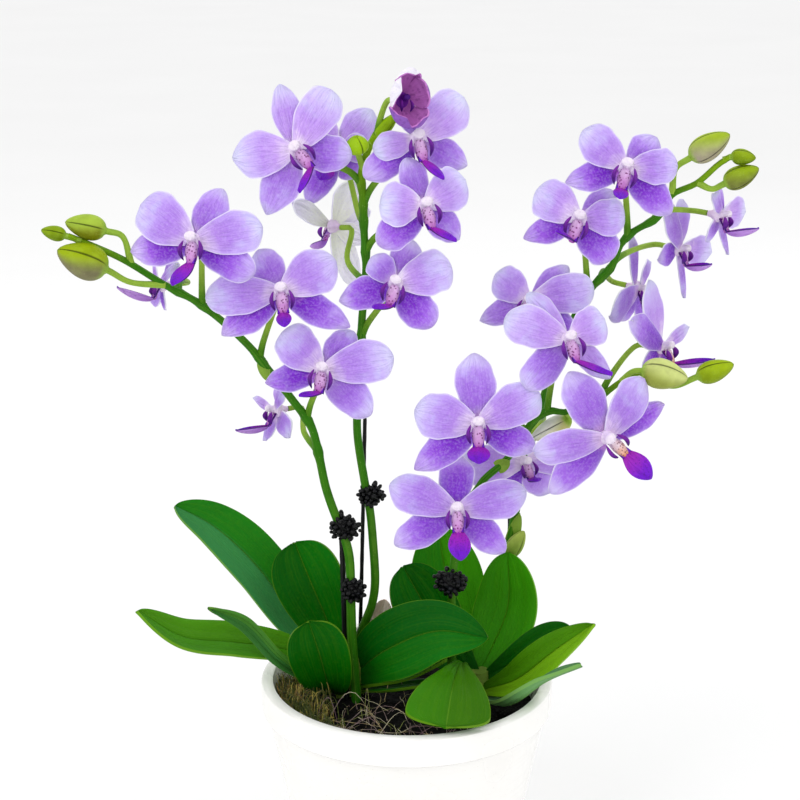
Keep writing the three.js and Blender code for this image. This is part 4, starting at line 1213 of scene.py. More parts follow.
BLOOMS: tuple[BloomSpec, ...] = (
    BloomSpec(
        "bloom_left_1", "left", joins=(201, 305), at=(194, 241, -24), turned=(-8, 14, -3),
        lip=(171, 281, 0.9),
        tepals=(
            (221, 189, 33), (262, 228, 42, 0.6), (252, 274, 34, 0.8), (129, 251, 38, 0), (141, 205, 47, 1),
        ),
    ),
    BloomSpec(
        "bloom_left_2", "left", joins=(261, 358), at=(281, 291, -19), turned=(4, 14, -5),
        lip=(284, 322, 0.65),
        tepals=(
            (258, 250, 34), (335, 260, 46, 0.2), (350, 327, 31, -0.6), (222, 335, 34, -0.5), (206, 298, 40),
        ),
    ),
    BloomSpec(
        "bloom_left_3", "left", joins=(309, 420), at=(323, 370, -17), turned=(-4, 14, 6),
        lip=(301, 392, 0.6),
        tepals=(
            (353, 332, 33), (393, 357, 43, 0.5), (370, 415, 36, 0.4, 0.6), (265, 383, 29, -0.4),
            (282, 333, 42, 0.9),
        ),
    ),
    BloomSpec(
        "bloom_left_4", "left", joins=(315, 456), via=(304, 432, 12), at=(277, 410, 22), turned=(-66, 0, 0),
        lip=(236, 428, 0.35), heart=0.7,
        tepals=(
            (275, 384, 14, 0.2, 0.1), (283, 388, 14, 0, 0.4), (283, 438, 20, 0, 0.5),
            (258, 442, 18, -0.5, 0.6), (253, 398, 11, 0, 0),
        ),
    ),
    BloomSpec(
        "bloom_left_5", "left", joins=(178, 291), at=(161, 285, 20), turned=(-68, 0, -10),
        lip=(118, 285, 0.35), heart=0.6,
        tepals=((168, 258, 12), (176, 264, 10), (158, 310, 14), (129, 321, 24, -0.3, 0.6), (154, 264, 10)),
    ),
    BloomSpec(
        "bloom_middle_1", "middle", joins=(361, 183), at=(296, 150, -17), turned=(6, 12, -37),
        lip=(297, 189, 0.6),
        tepals=(
            (280, 84, 28, 0, 0.1), (331, 90, 40, 1, 0), (352, 155, 36, 0.4, 0.7), (267, 214, 38, -0.5, 0.5),
            (233, 158, 45, -0.3, 0),
        ),
    ),
    BloomSpec(
        "bloom_middle_2", "middle", joins=(363, 222), via=(358, 212, 24), at=(338, 152, 20),
        turned=(-10, 10, 20), heart=0.8,
        tepals=(
            (371, 110, 34, 0.2, 0.1), (368, 146, 30), (356, 176, 30, 0.3), (306, 202, 28, 0.3), (308, 122),
        ),
    ),
    BloomSpec(
        "bloom_middle_3", "middle", joins=(366, 284), via=(347, 258, 24), at=(332, 226, 30),
        turned=(-130, 0, 0), heart=0.7,
        tepals=(
            (350, 181, 24, 0.3, 0), (293, 203, 20, 0.4, 0.4), (362, 240, 22, 0, 0.8), (352, 284, 28, 0.3, 0),
            (368, 210, 26, 0.3, 0),
        ),
    ),
    BloomSpec(
        "bloom_middle_4", "middle", joins=(382, 129), at=(402, 100, -16), turned=(32, 8, 5), heart=0.6,
        opening=Opening.CUP,
    ),
    BloomSpec(
        "bloom_middle_5", "middle", joins=(363, 205), at=(417, 139, -10), turned=(10, 12, -8),
        lip=(444, 175, 0.5),
        tepals=(
            (410, 106, 26), (464, 98, 43, 0.7, 0), (468, 165, 30, 0, 0.7), (366, 177, 32, 0.4),
            (374, 150, 27, 0.3, 0),
        ),
    ),
    BloomSpec(
        "bloom_middle_6", "middle", joins=(365, 252), at=(424, 206, -20), turned=(14, 12, -8),
        lip=(456, 237, 0.5),
        tepals=(
            (408, 158, 28), (465, 180, 41, 0.7, 0), (461, 239, 31, 0, 0.7), (381, 245, 35, 0.5),
            (381, 204, 42, 0.8, 0),
        ),
    ),
    BloomSpec(
        "bloom_middle_7", "middle", joins=(363, 339), at=(396, 284, -16), turned=(-4, 14, 12),
        lip=(375, 304, 0.6),
        tepals=(
            (412, 240, 31), (451, 267, 43, 0.8, 0.1), (432, 326, 36, 0.6), (339, 301, 33, -0.4),
            (372, 257, 28, 0.3, 0.6),
        ),
    ),
    BloomSpec(
        "bloom_right_1", "low", joins=(527, 431), at=(478, 424, -24), turned=(0, 12, 0), lip=(479, 459),
        tepals=(
            (474, 354, 41), (539, 393, 42, 0.6), (535, 450, 34, 0.2), (415, 470, 35, -0.4),
            (415, 411, 46, 0.3),
        ),
    ),
    BloomSpec(
        "bloom_right_2", "low", joins=(484, 498), at=(457, 510, -22), turned=(0, 18, -2), lip=(461, 557),
        tepals=(
            (456, 454, 36, 0.2, 0.95), (526, 492, 40, 0.2, 0.4), (505, 552, 32, 0.2, 0.9),
            (395, 545, 34, 0.2, 0.9), (390, 485, 41, 0.2, 0.4),
        ),
    ),
    BloomSpec(
        "bloom_right_3", "low", joins=(586, 405), at=(606, 437, -26), turned=(22, 0, -45), lip=(650, 477),
        callus="callus_warm",
        tepals=(
            (569, 369, 42, 0.1, 0.65), (644, 379, 36, 0.3, 0.4), (667, 406, 28, -0.2, 1),
            (551, 497, 34, 0.2, 0.9), (533, 453, 33, 0.3, 0.45),
        ),
    ),
    BloomSpec(
        "bloom_right_4", "low", joins=(543, 400), at=(568, 339, -18), turned=(10, 14, -10),
        lip=(612, 371, 0.55),
        tepals=(
            (530, 293, 24, 0.2, 0), (604, 319, 39, 1, 0), (612, 378, 24, 0, 0.2), (527, 388, 34, 0.8, 0.7),
            (506, 319, 41, 0.5, 0.1),
        ),
    ),
    BloomSpec(
        "bloom_right_5", "right", joins=(560, 350), at=(530, 301, 4), turned=(-14, 10, 12), heart=0.8,
        tepals=(
            (567, 267, 25), (593, 288, 40, 0.7, 0.3), (575, 345), (479, 321, 26, -0.5, 0.6),
            (496, 274, 35, 0.4),
        ),
    ),
    BloomSpec(
        "bloom_right_6", "right", joins=(588, 293), at=(580, 219, -12), turned=(-10, 12, 15),
        lip=(559, 228, 0.55),
        tepals=(
            (614, 192, 27), (624, 216, 36, 1, 0.2), (610, 260, 36, 1), (523, 238, 27, -0.6),
            (537, 190, 41, 0.6, 0),
        ),
    ),
    BloomSpec(
        "bloom_right_7", "right", joins=(631, 234), at=(626, 168, -20), turned=(-4, 14, 12),
        lip=(621, 194, 0.65),
        tepals=(
            (657, 137, 31), (677, 166, 34, 0.7, 0.3), (671, 213, 32, 0.2), (566, 182, 29, -0.6),
            (583, 131, 37, 0.3),
        ),
    ),
    BloomSpec(
        "bloom_right_8", "right", joins=(614, 264), at=(679, 249, 24), turned=(55, -4, 0),
        lip=(711, 262, 0.6), heart=0.7,
        tepals=(
            (689, 201, 22, 0.2, 0.4), (719, 253, 32, 0.4, 0), (691, 299, 11, -0.5, 0.4),
            (664, 260, 22, 0, 0.9), (667, 206, 24, 0.3, 0.5),
        ),
    ),
    BloomSpec(
        "bloom_right_9", "right", joins=(655, 219), at=(719, 215, 12), turned=(60, -4, 0),
        lip=(758, 226, 0.45), heart=0.7,
        tepals=(
            (728, 191, 18), (756, 210, 32, 0.4, 0), (734, 257, 11, -0.5, 0.4), (716, 234, 14, 0, 0.6),
            (715, 194, 16),
        ),
    ),
    BloomSpec(
        "bloom_right_10", "right", joins=(606, 274), at=(637, 288, 34), turned=(62, -8, 0), heart=0.6,
        tepals=(
            (638, 237, 16), (650, 262, 14), (648, 330, 20, 0.2, 0.9), (626, 322, 22, 0.2, 0.9),
            (611, 316, 30, 0.2, 0.6),
        ),
    ),
    BloomSpec(
        "bloom_right_11", "low", joins=(604, 394), at=(661, 347, 11), turned=(58, 4, -10),
        lip=(715, 357, 0.5), heart=0.8, callus="callus_warm",
        tepals=(
            (655, 281, 27, 0.2, 0), (688, 327, 16, 0.2, 0), (676, 378, 18), (650, 374, 20),
            (618, 308, 30, 0.2, 0.9),
        ),
    ),
    BloomSpec(
        "bloom_right_12", "low", joins=(540, 415), via=(541, 423, 28.5), at=(523, 462, 20),
        turned=(25, 8, -10), lip=(537, 477, 0.6), heart=0.8,
        tepals=((494, 412), (586, 452, 40, 0.2, 0.3), (552, 494, 34, 0, 0.5), (503, 500, 24), (460, 467)),
    ),
)

LEAVES: tuple[LeafSpec, ...] = (
    LeafSpec(
        "leaf_left_high", face=(0.35, -0.75, 0.8), width=27, tip=0.6, near=tone(28, 126, 18),
        far=tone(56, 140, 72),
        rib=((343, 662.5, 14.7), (303, 630, 27), (258, 568, 33), (214, 527, 35), (175, 506, 35)),
    ),
    LeafSpec(
        "leaf_left_back", face=(-0.2, -1, 0.45), width=32, root=0.3, widest=0.7, tip=0.36,
        near=tone(0, 106, 0), far=tone(0, 97, 0),
        rib=((341, 655, 11.5), (328, 622, 15), (311, 582, 17), (295, 543, 20)),
    ),
    LeafSpec(
        "leaf_left_far", face=(0.15, -0.45, 1), width=20, tip=0.7, near=tone(72, 140, 12),
        far=tone(70, 146, 18),
        rib=((338, 678, 9.2), (292, 652, 1), (235, 643, -6), (182, 637, -14), (137, 611, -21)),
    ),
    LeafSpec(
        "leaf_left_edge", face=(-0.5, -0.6, 0.5), width=7, root=0.3, fold=0.4, tip=0.7,
        near=tone(70, 134, 44), far=tone(56, 122, 50),
        rib=((325, 680.5, 2.6), (302, 672.5, -5.5), (279, 657, -11.5), (246, 624, -16), (208, 608, -18)),
    ),
    LeafSpec(
        "leaf_left_front", face=(-0.1, -1, 0.5), width=27, root=0.3, widest=0.72, tip=0.36,
        near=tone(0, 98, 0), rib=((332, 692, 6), (327, 680, -7), (320, 655, -13), (309, 622, -15)),
    ),
    LeafSpec(
        "leaf_middle_front", face=(-0.1, -1, 0.5), width=31, root=0.42, widest=0.48, fold=0.14,
        tip=0.7, near=tone(10, 110, 10), far=tone(2, 98, 12),
        rib=((357, 671, 10), (388, 649, -2), (438, 631, -12), (488, 638, -18)),
    ),
    LeafSpec(
        "leaf_middle_under", face=(-0.2, -0.1, 1), width=11, root=0.5, near=tone(30, 110, 10),
        rib=((360, 686, 9), (396, 679, 0), (426, 668, -2), (447, 659, -3)),
    ),
    LeafSpec(
        "leaf_middle_low", face=(0, -0.1, 1), width=8, root=0.5, near=tone(20, 100, 10),
        rib=((361, 690, 10), (390, 689, 0), (415, 686, -4), (434, 683, -7)),
    ),
    LeafSpec(
        "leaf_right_left", face=(0.2, -1, 0.3), width=29, root=0.3, widest=0.66, tip=0.4,
        near=tone(0, 96, 0), far=tone(0, 108, 0),
        rib=((472, 676, 8.5), (448, 648, 13), (426, 608, 18), (403, 567, 22)),
    ),
    LeafSpec(
        "leaf_right_back", face=(0.1, -1, 0.3), width=34, root=0.25, widest=0.65,
        near=tone(64, 162, 2), far=tone(38, 138, 2),
        rib=((477, 668, 15), (462, 632, 37), (448, 585, 49), (438, 528, 58)),
    ),
    LeafSpec(
        "leaf_right_tall", face=(-0.35, -1, 0.3), width=30, root=0.2, widest=0.5,
        near=tone(58, 154, 2), far=tone(54, 146, 0),
        rib=((480, 671, 10.6), (492, 648, 19), (508, 606, 28), (508, 553, 33)),
    ),
    LeafSpec(
        "leaf_right_inner", face=(-0.3, -0.75, 0.8), width=16, near=tone(2, 98, 0),
        rib=((489, 675, 6.5), (514, 662, 3), (543, 643, 0), (572, 629, -3)),
    ),
    LeafSpec(
        "leaf_right_outer", face=(-0.4, -0.7, 0.7), width=17, widest=0.5, tip=0.75,
        near=tone(114, 172, 16), far=tone(76, 142, 4),
        rib=((485, 690, 2), (518, 679, -13), (556, 650, -21), (594, 624, -27)),
    ),
    LeafSpec(
        "leaf_right_thin", face=(0, 0.15, 1), width=13, near=tone(104, 160, 106),
        far=tone(92, 146, 92), rib=((484, 699, 0), (510, 703, -25), (547, 679, -38), (581, 665, -44)),
    ),
    LeafSpec(
        "leaf_right_front", face=(0, -0.35, 1), width=36, root=0.08, widest=0.92, fold=0.1,
        tip=0.35, spread=4, near=tone(54, 122, 0), far=tone(58, 118, 0),
        rib=((471, 681, 4), (462, 664, -8), (454, 682, -34), (446, 727, -61)),
    ),
)

SPIKES: tuple[SpikeSpec, ...] = (
    SpikeSpec(
        "left", thick=2.3, thin=1.3,
        route=(
            (357, 706, 0), (356, 690, 0), (352, 640, 0), (351, 606, 0), (349, 555, 0),
            (343, 533, 0), (335, 514, 0), (326, 488, 0), (319, 456, -1), (311, 426, -2),
            (294, 402, -3), (271, 373, -4), (246, 343, -5), (200, 304, -8), (165, 285, -10),
            (122, 259, -13), (81, 241, -16), (68, 236, -17),
        ),
        buds=(
            BudSpec(
                start=(81, 241, -16), at=(66, 236, -17), tip=(41, 230, -18), radius=3.2,
                colour=tone(110, 136, 2), tip_colour=tone(132, 160, 8),
            ),
            BudSpec(
                start=(131, 263, -12), via=(122, 236, -13), at=(106, 231, -14), tip=(65, 222, -15),
                radius=5.4, colour=tone(120, 126, 12), tip_colour=tone(162, 190, 62),
            ),
            BudSpec(
                start=(165, 285, -10), via=(130, 282, -14), at=(107, 270, -18), tip=(57, 250, -20),
                radius=7.6, colour=tone(122, 118, 84), tip_colour=tone(150, 172, 6),
            ),
        ),
        bracts=(
            BractSpec(start=(262, 362, -4), tip=(268, 381, -7), width=5),
        ),
    ),
    SpikeSpec(
        "middle", thick=2.1, thin=1.5,
        route=(
            (349, 700, 19.5), (350, 686, 19.5), (351, 675, 19), (358, 640, 17), (366, 620, 14),
            (372, 604, 12), (375, 584, 10), (373, 542, 7), (370, 511, 6), (364, 478, 5),
            (358, 440, 3), (357, 420, 2), (361, 340, 1), (362, 319, 1), (366, 268, 1),
            (364, 230, 1), (363, 198, 1), (361, 179, 1), (364, 161, 0), (372, 142, 0),
            (377, 135, -1),
        ),
        pales=0.84,
        buds=(
            BudSpec(
                start=(371, 143, 0), at=(376, 137, -1), tip=(398, 113, -3), radius=2.9,
                colour=tone(128, 166, 4), tip_colour=tone(152, 192, 6),
            ),
            BudSpec(
                start=(363, 168, 0), via=(360, 160, -3), at=(358, 152, -6), tip=(356, 136, -9), radius=4.9,
                colour=tone(146, 186, 14), tip_colour=tone(168, 208, 22),
            ),
        ),
    ),
    SpikeSpec(
        "right", thick=2.3, thin=1.2,
        route=(
            (485, 690, 21), (485.4, 676, 21.6), (489, 655, 29), (498, 625, 39), (503, 590, 43),
            (507, 560, 44), (511, 535, 42), (518, 500, 39), (528, 455, 38), (541, 405, 35),
            (553, 370, 27), (568, 330, 18), (590, 290, 8), (612, 266, 2), (621, 244, 1),
            (633, 232, 0), (659, 216, -2), (672, 195, -4), (697, 183, -6), (719, 164, -8),
            (730, 157, -9),
        ),
        buds=(
            BudSpec(
                start=(724, 160, -8), at=(731, 157, -9), tip=(756, 158, -11), radius=3.4,
                colour=tone(112, 138, 8), tip_colour=tone(138, 164, 14),
            ),
            BudSpec(
                start=(672, 193, -4), via=(676, 168, -6), at=(690, 158, -7), tip=(730, 134, -9), radius=5.6,
                colour=tone(170, 160, 138), tip_colour=tone(160, 184, 40),
            ),
            BudSpec(
                start=(698, 183, -6), via=(712, 189, -8), at=(724, 184, -9), tip=(759, 168, -11),
                radius=4.8, colour=tone(112, 118, 52), tip_colour=tone(144, 170, 20),
            ),
            BudSpec(
                start=(505, 568, 43.5), at=(509, 556, 40), tip=(524, 531, 36), radius=4,
                colour=tone(120, 150, 50), tip_colour=tone(176, 194, 90),
            ),
        ),
        bracts=(
            BractSpec(start=(510, 546, 43), tip=(520, 513, 37), width=7),
        ),
    ),
    SpikeSpec(
        "low", thick=2.1, thin=1.2,
        route=(
            (451, 692, 3), (451, 676, 3), (452, 655, 2), (452, 625, 1), (452, 590, 1),
            (456, 550, 2), (468, 512, 1), (482, 482, 0), (504, 462, 1), (520, 442, 2),
            (534, 420, 1), (548, 411, 0), (566, 412, -1), (588, 404, -2), (604, 394, -4),
            (622, 381, -6), (640, 372, -8),
        ),
        buds=(
            BudSpec(
                start=(622, 381, -6), via=(632, 372, -9), at=(642, 371, -12), tip=(688, 379, -16),
                radius=6.6, colour=tone(150, 160, 70), tip_colour=tone(206, 216, 132),
            ),
            BudSpec(
                start=(640, 372, -8), via=(672, 386, -6), at=(697, 377, -7), tip=(734, 364, -9), radius=4.9,
                colour=tone(128, 150, 8), tip_colour=tone(156, 182, 14),
            ),
            BudSpec(
                start=(566, 412, -1), at=(569, 418, 4), tip=(531, 439, 6), radius=4.6,
                colour=tone(190, 186, 120), tip_colour=tone(236, 234, 228),
            ),
        ),
        bracts=(
            BractSpec(start=(497, 468, 1), tip=(510, 461, -2), width=7),
        ),
    ),
)

STAKES: tuple[StakeSpec, ...] = (
    StakeSpec(
        "stake_left", route=((347, 705, 2), (346.6, 690, 2.2), (345, 640, 3.4), (341, 510, 5.2)),
        radius=1.25,
    ),
    StakeSpec("stake_middle", route=((358, 690, 28), (358.6, 676, 28), (361, 600, 21), (365, 416, 8))),
    StakeSpec(
        "stake_right",
        route=((495, 688, 27), (495.4, 674, 27.3), (503, 620, 43), (509, 540, 48), (510, 490, 48)),
    ),
)

CLIPS: tuple[ClipSpec, ...] = (
    ClipSpec("clip_left_high", at=(345, 528, -2), size=(16, 12, 13)),
    ClipSpec("clip_left_low", at=(353, 590, -2), size=(12, 10, 13)),
    ClipSpec("clip_middle", at=(371, 495, 4), size=(13, 11, 11)),
    ClipSpec("clip_right", at=(450, 582, 0), size=(18, 11, 15)),
)

CROWNS: dict[str, tuple[Spot, float]] = {"left": ((350, 694, 10), 112.0), "right": ((478, 694, 8), 104.0)}
DRY_SHEATH = LeafSpec(
    "dry_sheath", face=(0, -1, 0.2), width=11, root=0.4, tip=0.4, near=tone(255, 228, 222),
    rib=((362, 673, 15), (375, 640, 26), (385, 600, 30)),
)


def seen_route(spots: Sequence[Spot], standing: bool = False) -> Route:
    """The route through spots of the picture.

    Args:
        spots: Columns, rows and depths.
        standing: Whether the first point is set down into the medium.

    Returns:
        The route.
    """
    points = [EYE.seen(*spot) for spot in spots]
    if standing:
        points[0][2] = ROOT_DEPTH
    return Route(points)


def given(seen: Seen, place: int, usual: float) -> float:
    """The number at a place of a spec's list, or the usual one where the list is shorter."""
    return seen[place] if len(seen) > place else usual


@dataclass(frozen=True)
class TepalShape:
    """The form that a sepal or petal starts from, in millimetres."""

    width: float
    length: float
    root: float
    widest: float
    end: float
    deep: float
    layer: float
    bend: float
    crown: float
    ripple: float


SHAPES = {
    "dorsal": TepalShape(16.0, 28.0, 0.32, 0.54, 0.1, 0.6, -1.0, -1.5, -1.0, 0.35),
    "lateral": TepalShape(15.0, 28.0, 0.48, 0.46, 0.0, 1.0, -1.0, -1.5, -0.9, 0.35),
    "petal": TepalShape(18.0, 25.5, 0.36, 0.58, 0.4, 0.28, 1.0, -0.8, -1.2, 0.6),
}


class BloomFrame:
    """A bloom's own frame: x to its right as it is looked at, y to its dorsal sepal, z the way it faces."""

    def __init__(self, spec: BloomSpec) -> None:
        """Turns the frame as the bloom is turned.

        Args:
            spec: The bloom.
        """
        around, raised, rolled = (math.radians(angle) for angle in spec.turned)
        self.facing = np.array([
            math.sin(around) * math.cos(raised), -math.cos(around) * math.cos(raised), math.sin(raised),
        ])
        level = np.array([math.cos(around), math.sin(around), 0])
        self.up = np.cross(self.facing, level) * math.cos(rolled) + level * math.sin(rolled)
        self.right = np.cross(self.up, self.facing)
        self.centre = EYE.seen(*spec.at)

    def place(self, x: Union[float, Vec], y: Union[float, Vec], z: Union[float, Vec]) -> Vec:
        """Carries points from the bloom's frame to the plant's.

        Args:
            x: How far to the bloom's right.
            y: How far towards its dorsal sepal.
            z: How far out in front of it.

        Returns:
            The points, in millimetres.
        """
        parts = np.broadcast_arrays(np.asarray(x, float), np.asarray(y, float), np.asarray(z, float))
        axes = (self.right, self.up, self.facing)
        return self.centre + sum(part[..., None] * axis for part, axis in zip(parts, axes))


@dataclass
class Bloom:
    """An open bloom: five tepals, the column and the lip."""

    spec: BloomSpec
    palette: Palette
    seed: int
    thickness: float = 0.7
    across: int = 18
    along: int = 26
    usual: tuple[tuple[str, float], ...] = (
        ("dorsal", 0), ("petal", 70), ("lateral", 121), ("lateral", -121), ("petal", -70),
    )
    reach_least: float = 12
    reach_most: float = 33
    lip_width: float = 9.5
    lip_walls: float = 2.8
    lip_thickness: float = 0.8
    lip_finishes: tuple[str, ...] = ("lip", "lip_under", "lip_rim")
    neck: tuple[tuple[float, float], ...] = (
        (-NECK_LENGTH, 0), (-4.9, 1.3), (-3.6, 1.5), (-2.4, 2.2), (-1.2, 3.0), (0, 3.3),
    )
    column: tuple[tuple[float, ...], ...] = (
        (0.4, 1.4, 3.0, 2.9), (0.9, 2.8, 2.4, 2.3), (1.3, 4.2, 2.2, 2.0), (1.7, 5.6, 2.6, 2.1),
        (1.8, 6.8, 2.6, 2.0), (1.5, 7.6, 1.9, 1.6), (1.1, 8.0, 0, 0),
    )

    def __post_init__(self) -> None:
        """Sets up the frame and the draws."""
        self.frame = BloomFrame(self.spec)
        self.draw = random.Random(self.seed)

    def _tip(self, seen: Seen, angle: float, length: float) -> tuple[float, float]:
        """Where a tepal points.

        Args:
            seen: Where its tip is seen, or nothing.
            angle: Its usual angle in degrees.
            length: Its usual length.

        Returns:
            Its angle in radians and its length.
        """
        if not seen:
            return math.radians(angle), length
        frame = self.frame
        point = EYE.on_plane((seen[0], seen[1]), frame.centre, frame.facing) - frame.centre
        reach = min(self.reach_most, max(self.reach_least, float(np.linalg.norm(point))))
        return math.atan2(point @ frame.right, point @ frame.up), reach

    def _tepal(self, seen: Seen, angle: float, shape: TepalShape) -> Form:
        """Shapes one tepal from a sheet.

        Args:
            seen: How it is seen.
            angle: Its usual angle.
            shape: Its usual form.

        Returns:
            The sheet.
        """
        angle, length = self._tip(seen, angle, shape.length)
        side_x, side_y = math.cos(angle), -math.sin(angle)
        width = shape.width
        if len(seen) > 2:
            width = seen[2] / COLUMNS / EYE.breadth(self.frame.right * side_x + self.frame.up * side_y)
        end, deep = given(seen, 3, shape.end), given(seen, 4, shape.deep)
        form = Form.sheet(self.across, self.along)
        aside, share = form.grid()
        share = np.sin(np.pi / 2 * share)
        hand = np.sign(aside)
        phase, curl = self.draw.uniform(0, 2 * math.pi), self.draw.uniform(-0.5, 0.5)
        notches = 0.07 * np.sin(9 * share + phase + 1.7 * hand) + 0.03 * np.sin(21 * share - phase)
        offset = aside * width / 2 * tepal_outline(share, shape.root, shape.widest, end)
        offset = offset * (1 + share * notches)
        reach = TEPAL_START + share * (length - TEPAL_START)
        depth = shape.layer + shape.bend * share ** 2 + shape.crown * aside ** 2 * share
        depth -= 0.4 * np.exp(-(aside / 0.12) ** 2) * np.sin(np.pi * np.clip(share, 0, 1))
        depth += shape.ripple * np.abs(aside) ** 1.5 * np.sin(7 * share + phase + 2.4 * hand) * share
        depth += curl * share ** 3 + 0.54 * np.sin(np.pi * share) * (1 - aside ** 2)
        x = math.sin(angle) * reach + side_x * offset
        y = math.cos(angle) * reach + side_y * offset
        form.put(self.frame.place(x, y, depth)).uv((aside + 1) / 2, share)
        paler = self.draw.uniform(0.95, 1.0)
        return form.tint((paler, paler, min(1.0, paler + 0.03), deep))

    def _tepals(self) -> Form:
        """Shapes the five tepals, thickened, with their own backs and rims.

        Returns:
            The form.
        """
        forms = []
        for seen, (kind, angle) in zip(self.spec.tepals, self.usual):
            tepal = self._tepal(seen, angle, SHAPES[kind])
            forms.append(tepal.finish(self.palette("tepal", "back", "rim")))
        return Form.joined(forms).weld().thicken(self.thickness).backed(self.frame.facing, 1, 2)

    def _heart(self, form: Form, x: Vec, y: Vec, z: Vec, finish: str) -> Form:
        """Puts a round form in the middle of the bloom and finishes it.

        Args:
            form: The ball that it is made from.
            x: How far its points lie to the right, on a bloom with a heart of the usual size.
            y: How far they lie up.
            z: How far they lie out in front.
            finish: Its finish.

        Returns:
            The form.
        """
        turn, polar = form.globe()
        size = self.spec.heart
        form.put(self.frame.place(x * size, y * size, z * size)).wrap(turn, polar)
        return form.tint(PLAIN).finish(self.palette(finish))

    def _column(self) -> Form:
        """Shapes the neck, the hub and the column with its cap.

        Returns:
            The closed form.
        """
        size = self.spec.heart
        rings = [(0, z, radius, radius) for z, radius in self.neck]
        rings += [tuple(part * size for part in ring) for ring in self.column]
        form = Form.ball(20, 26)
        turn, polar = form.globe()
        table = np.array(rings, float)
        marks = np.linspace(0, 1, len(rings))
        y, z, wide, high = (np.interp(polar, marks, table[:, k]) for k in range(4))
        form.put(self.frame.place(np.cos(turn) * wide, y + np.sin(turn) * high, z)).wrap(turn, polar)
        return form.tint(PLAIN).finish(self.palette("column"))

    def _callus(self) -> Form:
        """Shapes the pale, dotted swelling between the side lobes.

        Returns:
            The closed form.
        """
        form = Form.ball(18, 18)
        turn, polar = form.globe()
        high, wide = -np.cos(polar * np.pi), np.sin(polar * np.pi) ** 0.7
        cleft = 1 - 0.2 * np.exp(-(np.cos(turn) / 0.3) ** 2) * (np.sin(turn) > 0)
        lumps = 1 + 0.07 * np.sin(5 * turn) * np.sin(14 * polar)
        x = np.cos(turn) * wide * lumps * (2.6 + 0.3 * high)
        z = 4.7 + np.sin(turn) * wide * lumps * 1.9 * cleft - high * 1.1
        return self._heart(form, x, -5.4 + high * 5.0, z, self.spec.callus)

    def _lip_axes(self) -> tuple[Vec, Vec, Vec, Vec]:
        """Finds how the middle lobe lies, so that its tip is seen where the spec says.

        Returns:
            Where it starts, how far it reaches, its side, and the way its face looks.
        """
        frame = self.frame
        start = frame.place(*(part * self.spec.heart for part in LIP_START))
        reach = unit(frame.facing - frame.up * 0.35) * LIP_LENGTH * self.spec.heart
        if self.spec.lip:
            sight = unit(EYE.sight(*self.spec.lip[:2]))
            away = start - np.array(EYE.place)
            miss = float(np.linalg.norm(away - sight * (away @ sight)))
            length = min(LIP_MOST, max(LIP_LENGTH * self.spec.heart, miss / 0.94))
            near = away @ sight - max(0.0, length ** 2 - miss ** 2) ** 0.5
            reach = unit(sight * near - away) * length
        upward = frame.up + frame.facing * 0.25
        forward = unit(reach)
        face = unit(upward - forward * (forward @ upward))
        side = np.cross(forward, face)
        return start, reach, side if side @ frame.right > 0 else -side, face

    def _middle_lobe(self) -> Form:
        """Shapes the pointed middle lobe of the lip. One seen from its side has a deeper keel.

        Returns:
            The sheet.
        """
        start, reach, side, face = self._lip_axes()
        form = Form.sheet(10, 18)
        aside, share = form.grid()
        share = np.sin(np.pi / 2 * share)
        width = self.lip_width * given(self.spec.lip, 2, self.spec.heart)
        half = width / 2 * np.where(
            share < 0.5, 0.5 + 0.5 * np.sin(np.pi * np.minimum(share, 0.5)),
            np.maximum(0, 1 - (np.clip(share, 0.5, 1) * 2 - 1) ** 2) ** 0.75,
        )
        turned = float(smooth(np.array(abs(self.spec.turned[0])), 35, 52))
        belly = turned * self.lip_walls * np.sin(np.pi * share ** 0.8) ** 0.7 * (1 - aside ** 2)
        droop = (1 - turned) * 1.1 * share * aside ** 2
        lift = 0.35 * np.exp(-(aside / 0.15) ** 2) - belly - droop - LIP_BEND * share ** 2
        points = start + reach * share[:, None] + side * (aside * half)[:, None] + face * lift[:, None]
        form.put(points).uv((aside + 1) / 2, share).tint(PLAIN)
        return form.finish(self.palette(*self.lip_finishes))

    def _throat(self) -> Form:
        """Shapes the floor of the lip, from under the column to the middle lobe.

        Returns:
            The sheet.
        """
        form = Form.sheet(6, 6)
        aside, share = form.grid()
        start, _, side, _ = self._lip_axes()
        near = self.frame.place(aside * 1.8, -1.0, 1.0)
        far = start + side * (aside * 2.4 * self.spec.heart)[:, None]
        sag = self.frame.facing * (0.8 * aside ** 2 * share)[:, None]
        form.put(near + (far - near) * share[:, None] + sag).uv((aside + 1) / 2, share).tint(PLAIN)
        return form.finish(self.palette(*self.lip_finishes))

    def _side_lobe(self, way: int) -> Form:
        """Shapes one upright lobe beside the column, a curved blade that tapers to both ends.

        Args:
            way: 1 for the right one and -1 for the left.

        Returns:
            The closed form.
        """
        form = Form.ball(12, 16)
        turn, polar = form.globe()
        bow = np.sin(np.pi * polar)
        x = way * (3.2 + 1.2 * bow) + np.cos(turn) * 0.9 * bow ** 0.6
        z = 5.0 + 1.5 * bow + np.sin(turn) * 1.8 * bow ** 0.7
        return self._heart(form, x, 0.2 - 8.4 * polar, z, "lobe")

    def build(self) -> None:
        """Builds the bloom's piece."""
        lip = Form.joined([self._middle_lobe(), self._throat()]).weld().thicken(self.lip_thickness)
        lip.backed(self._lip_axes()[3], 1, 2)
        heart = [self._side_lobe(1), self._side_lobe(-1), self._column(), self._callus()]
        Form.joined([self._tepals(), lip, *heart]).piece(self.spec.name, "bloom", self.spec.name)


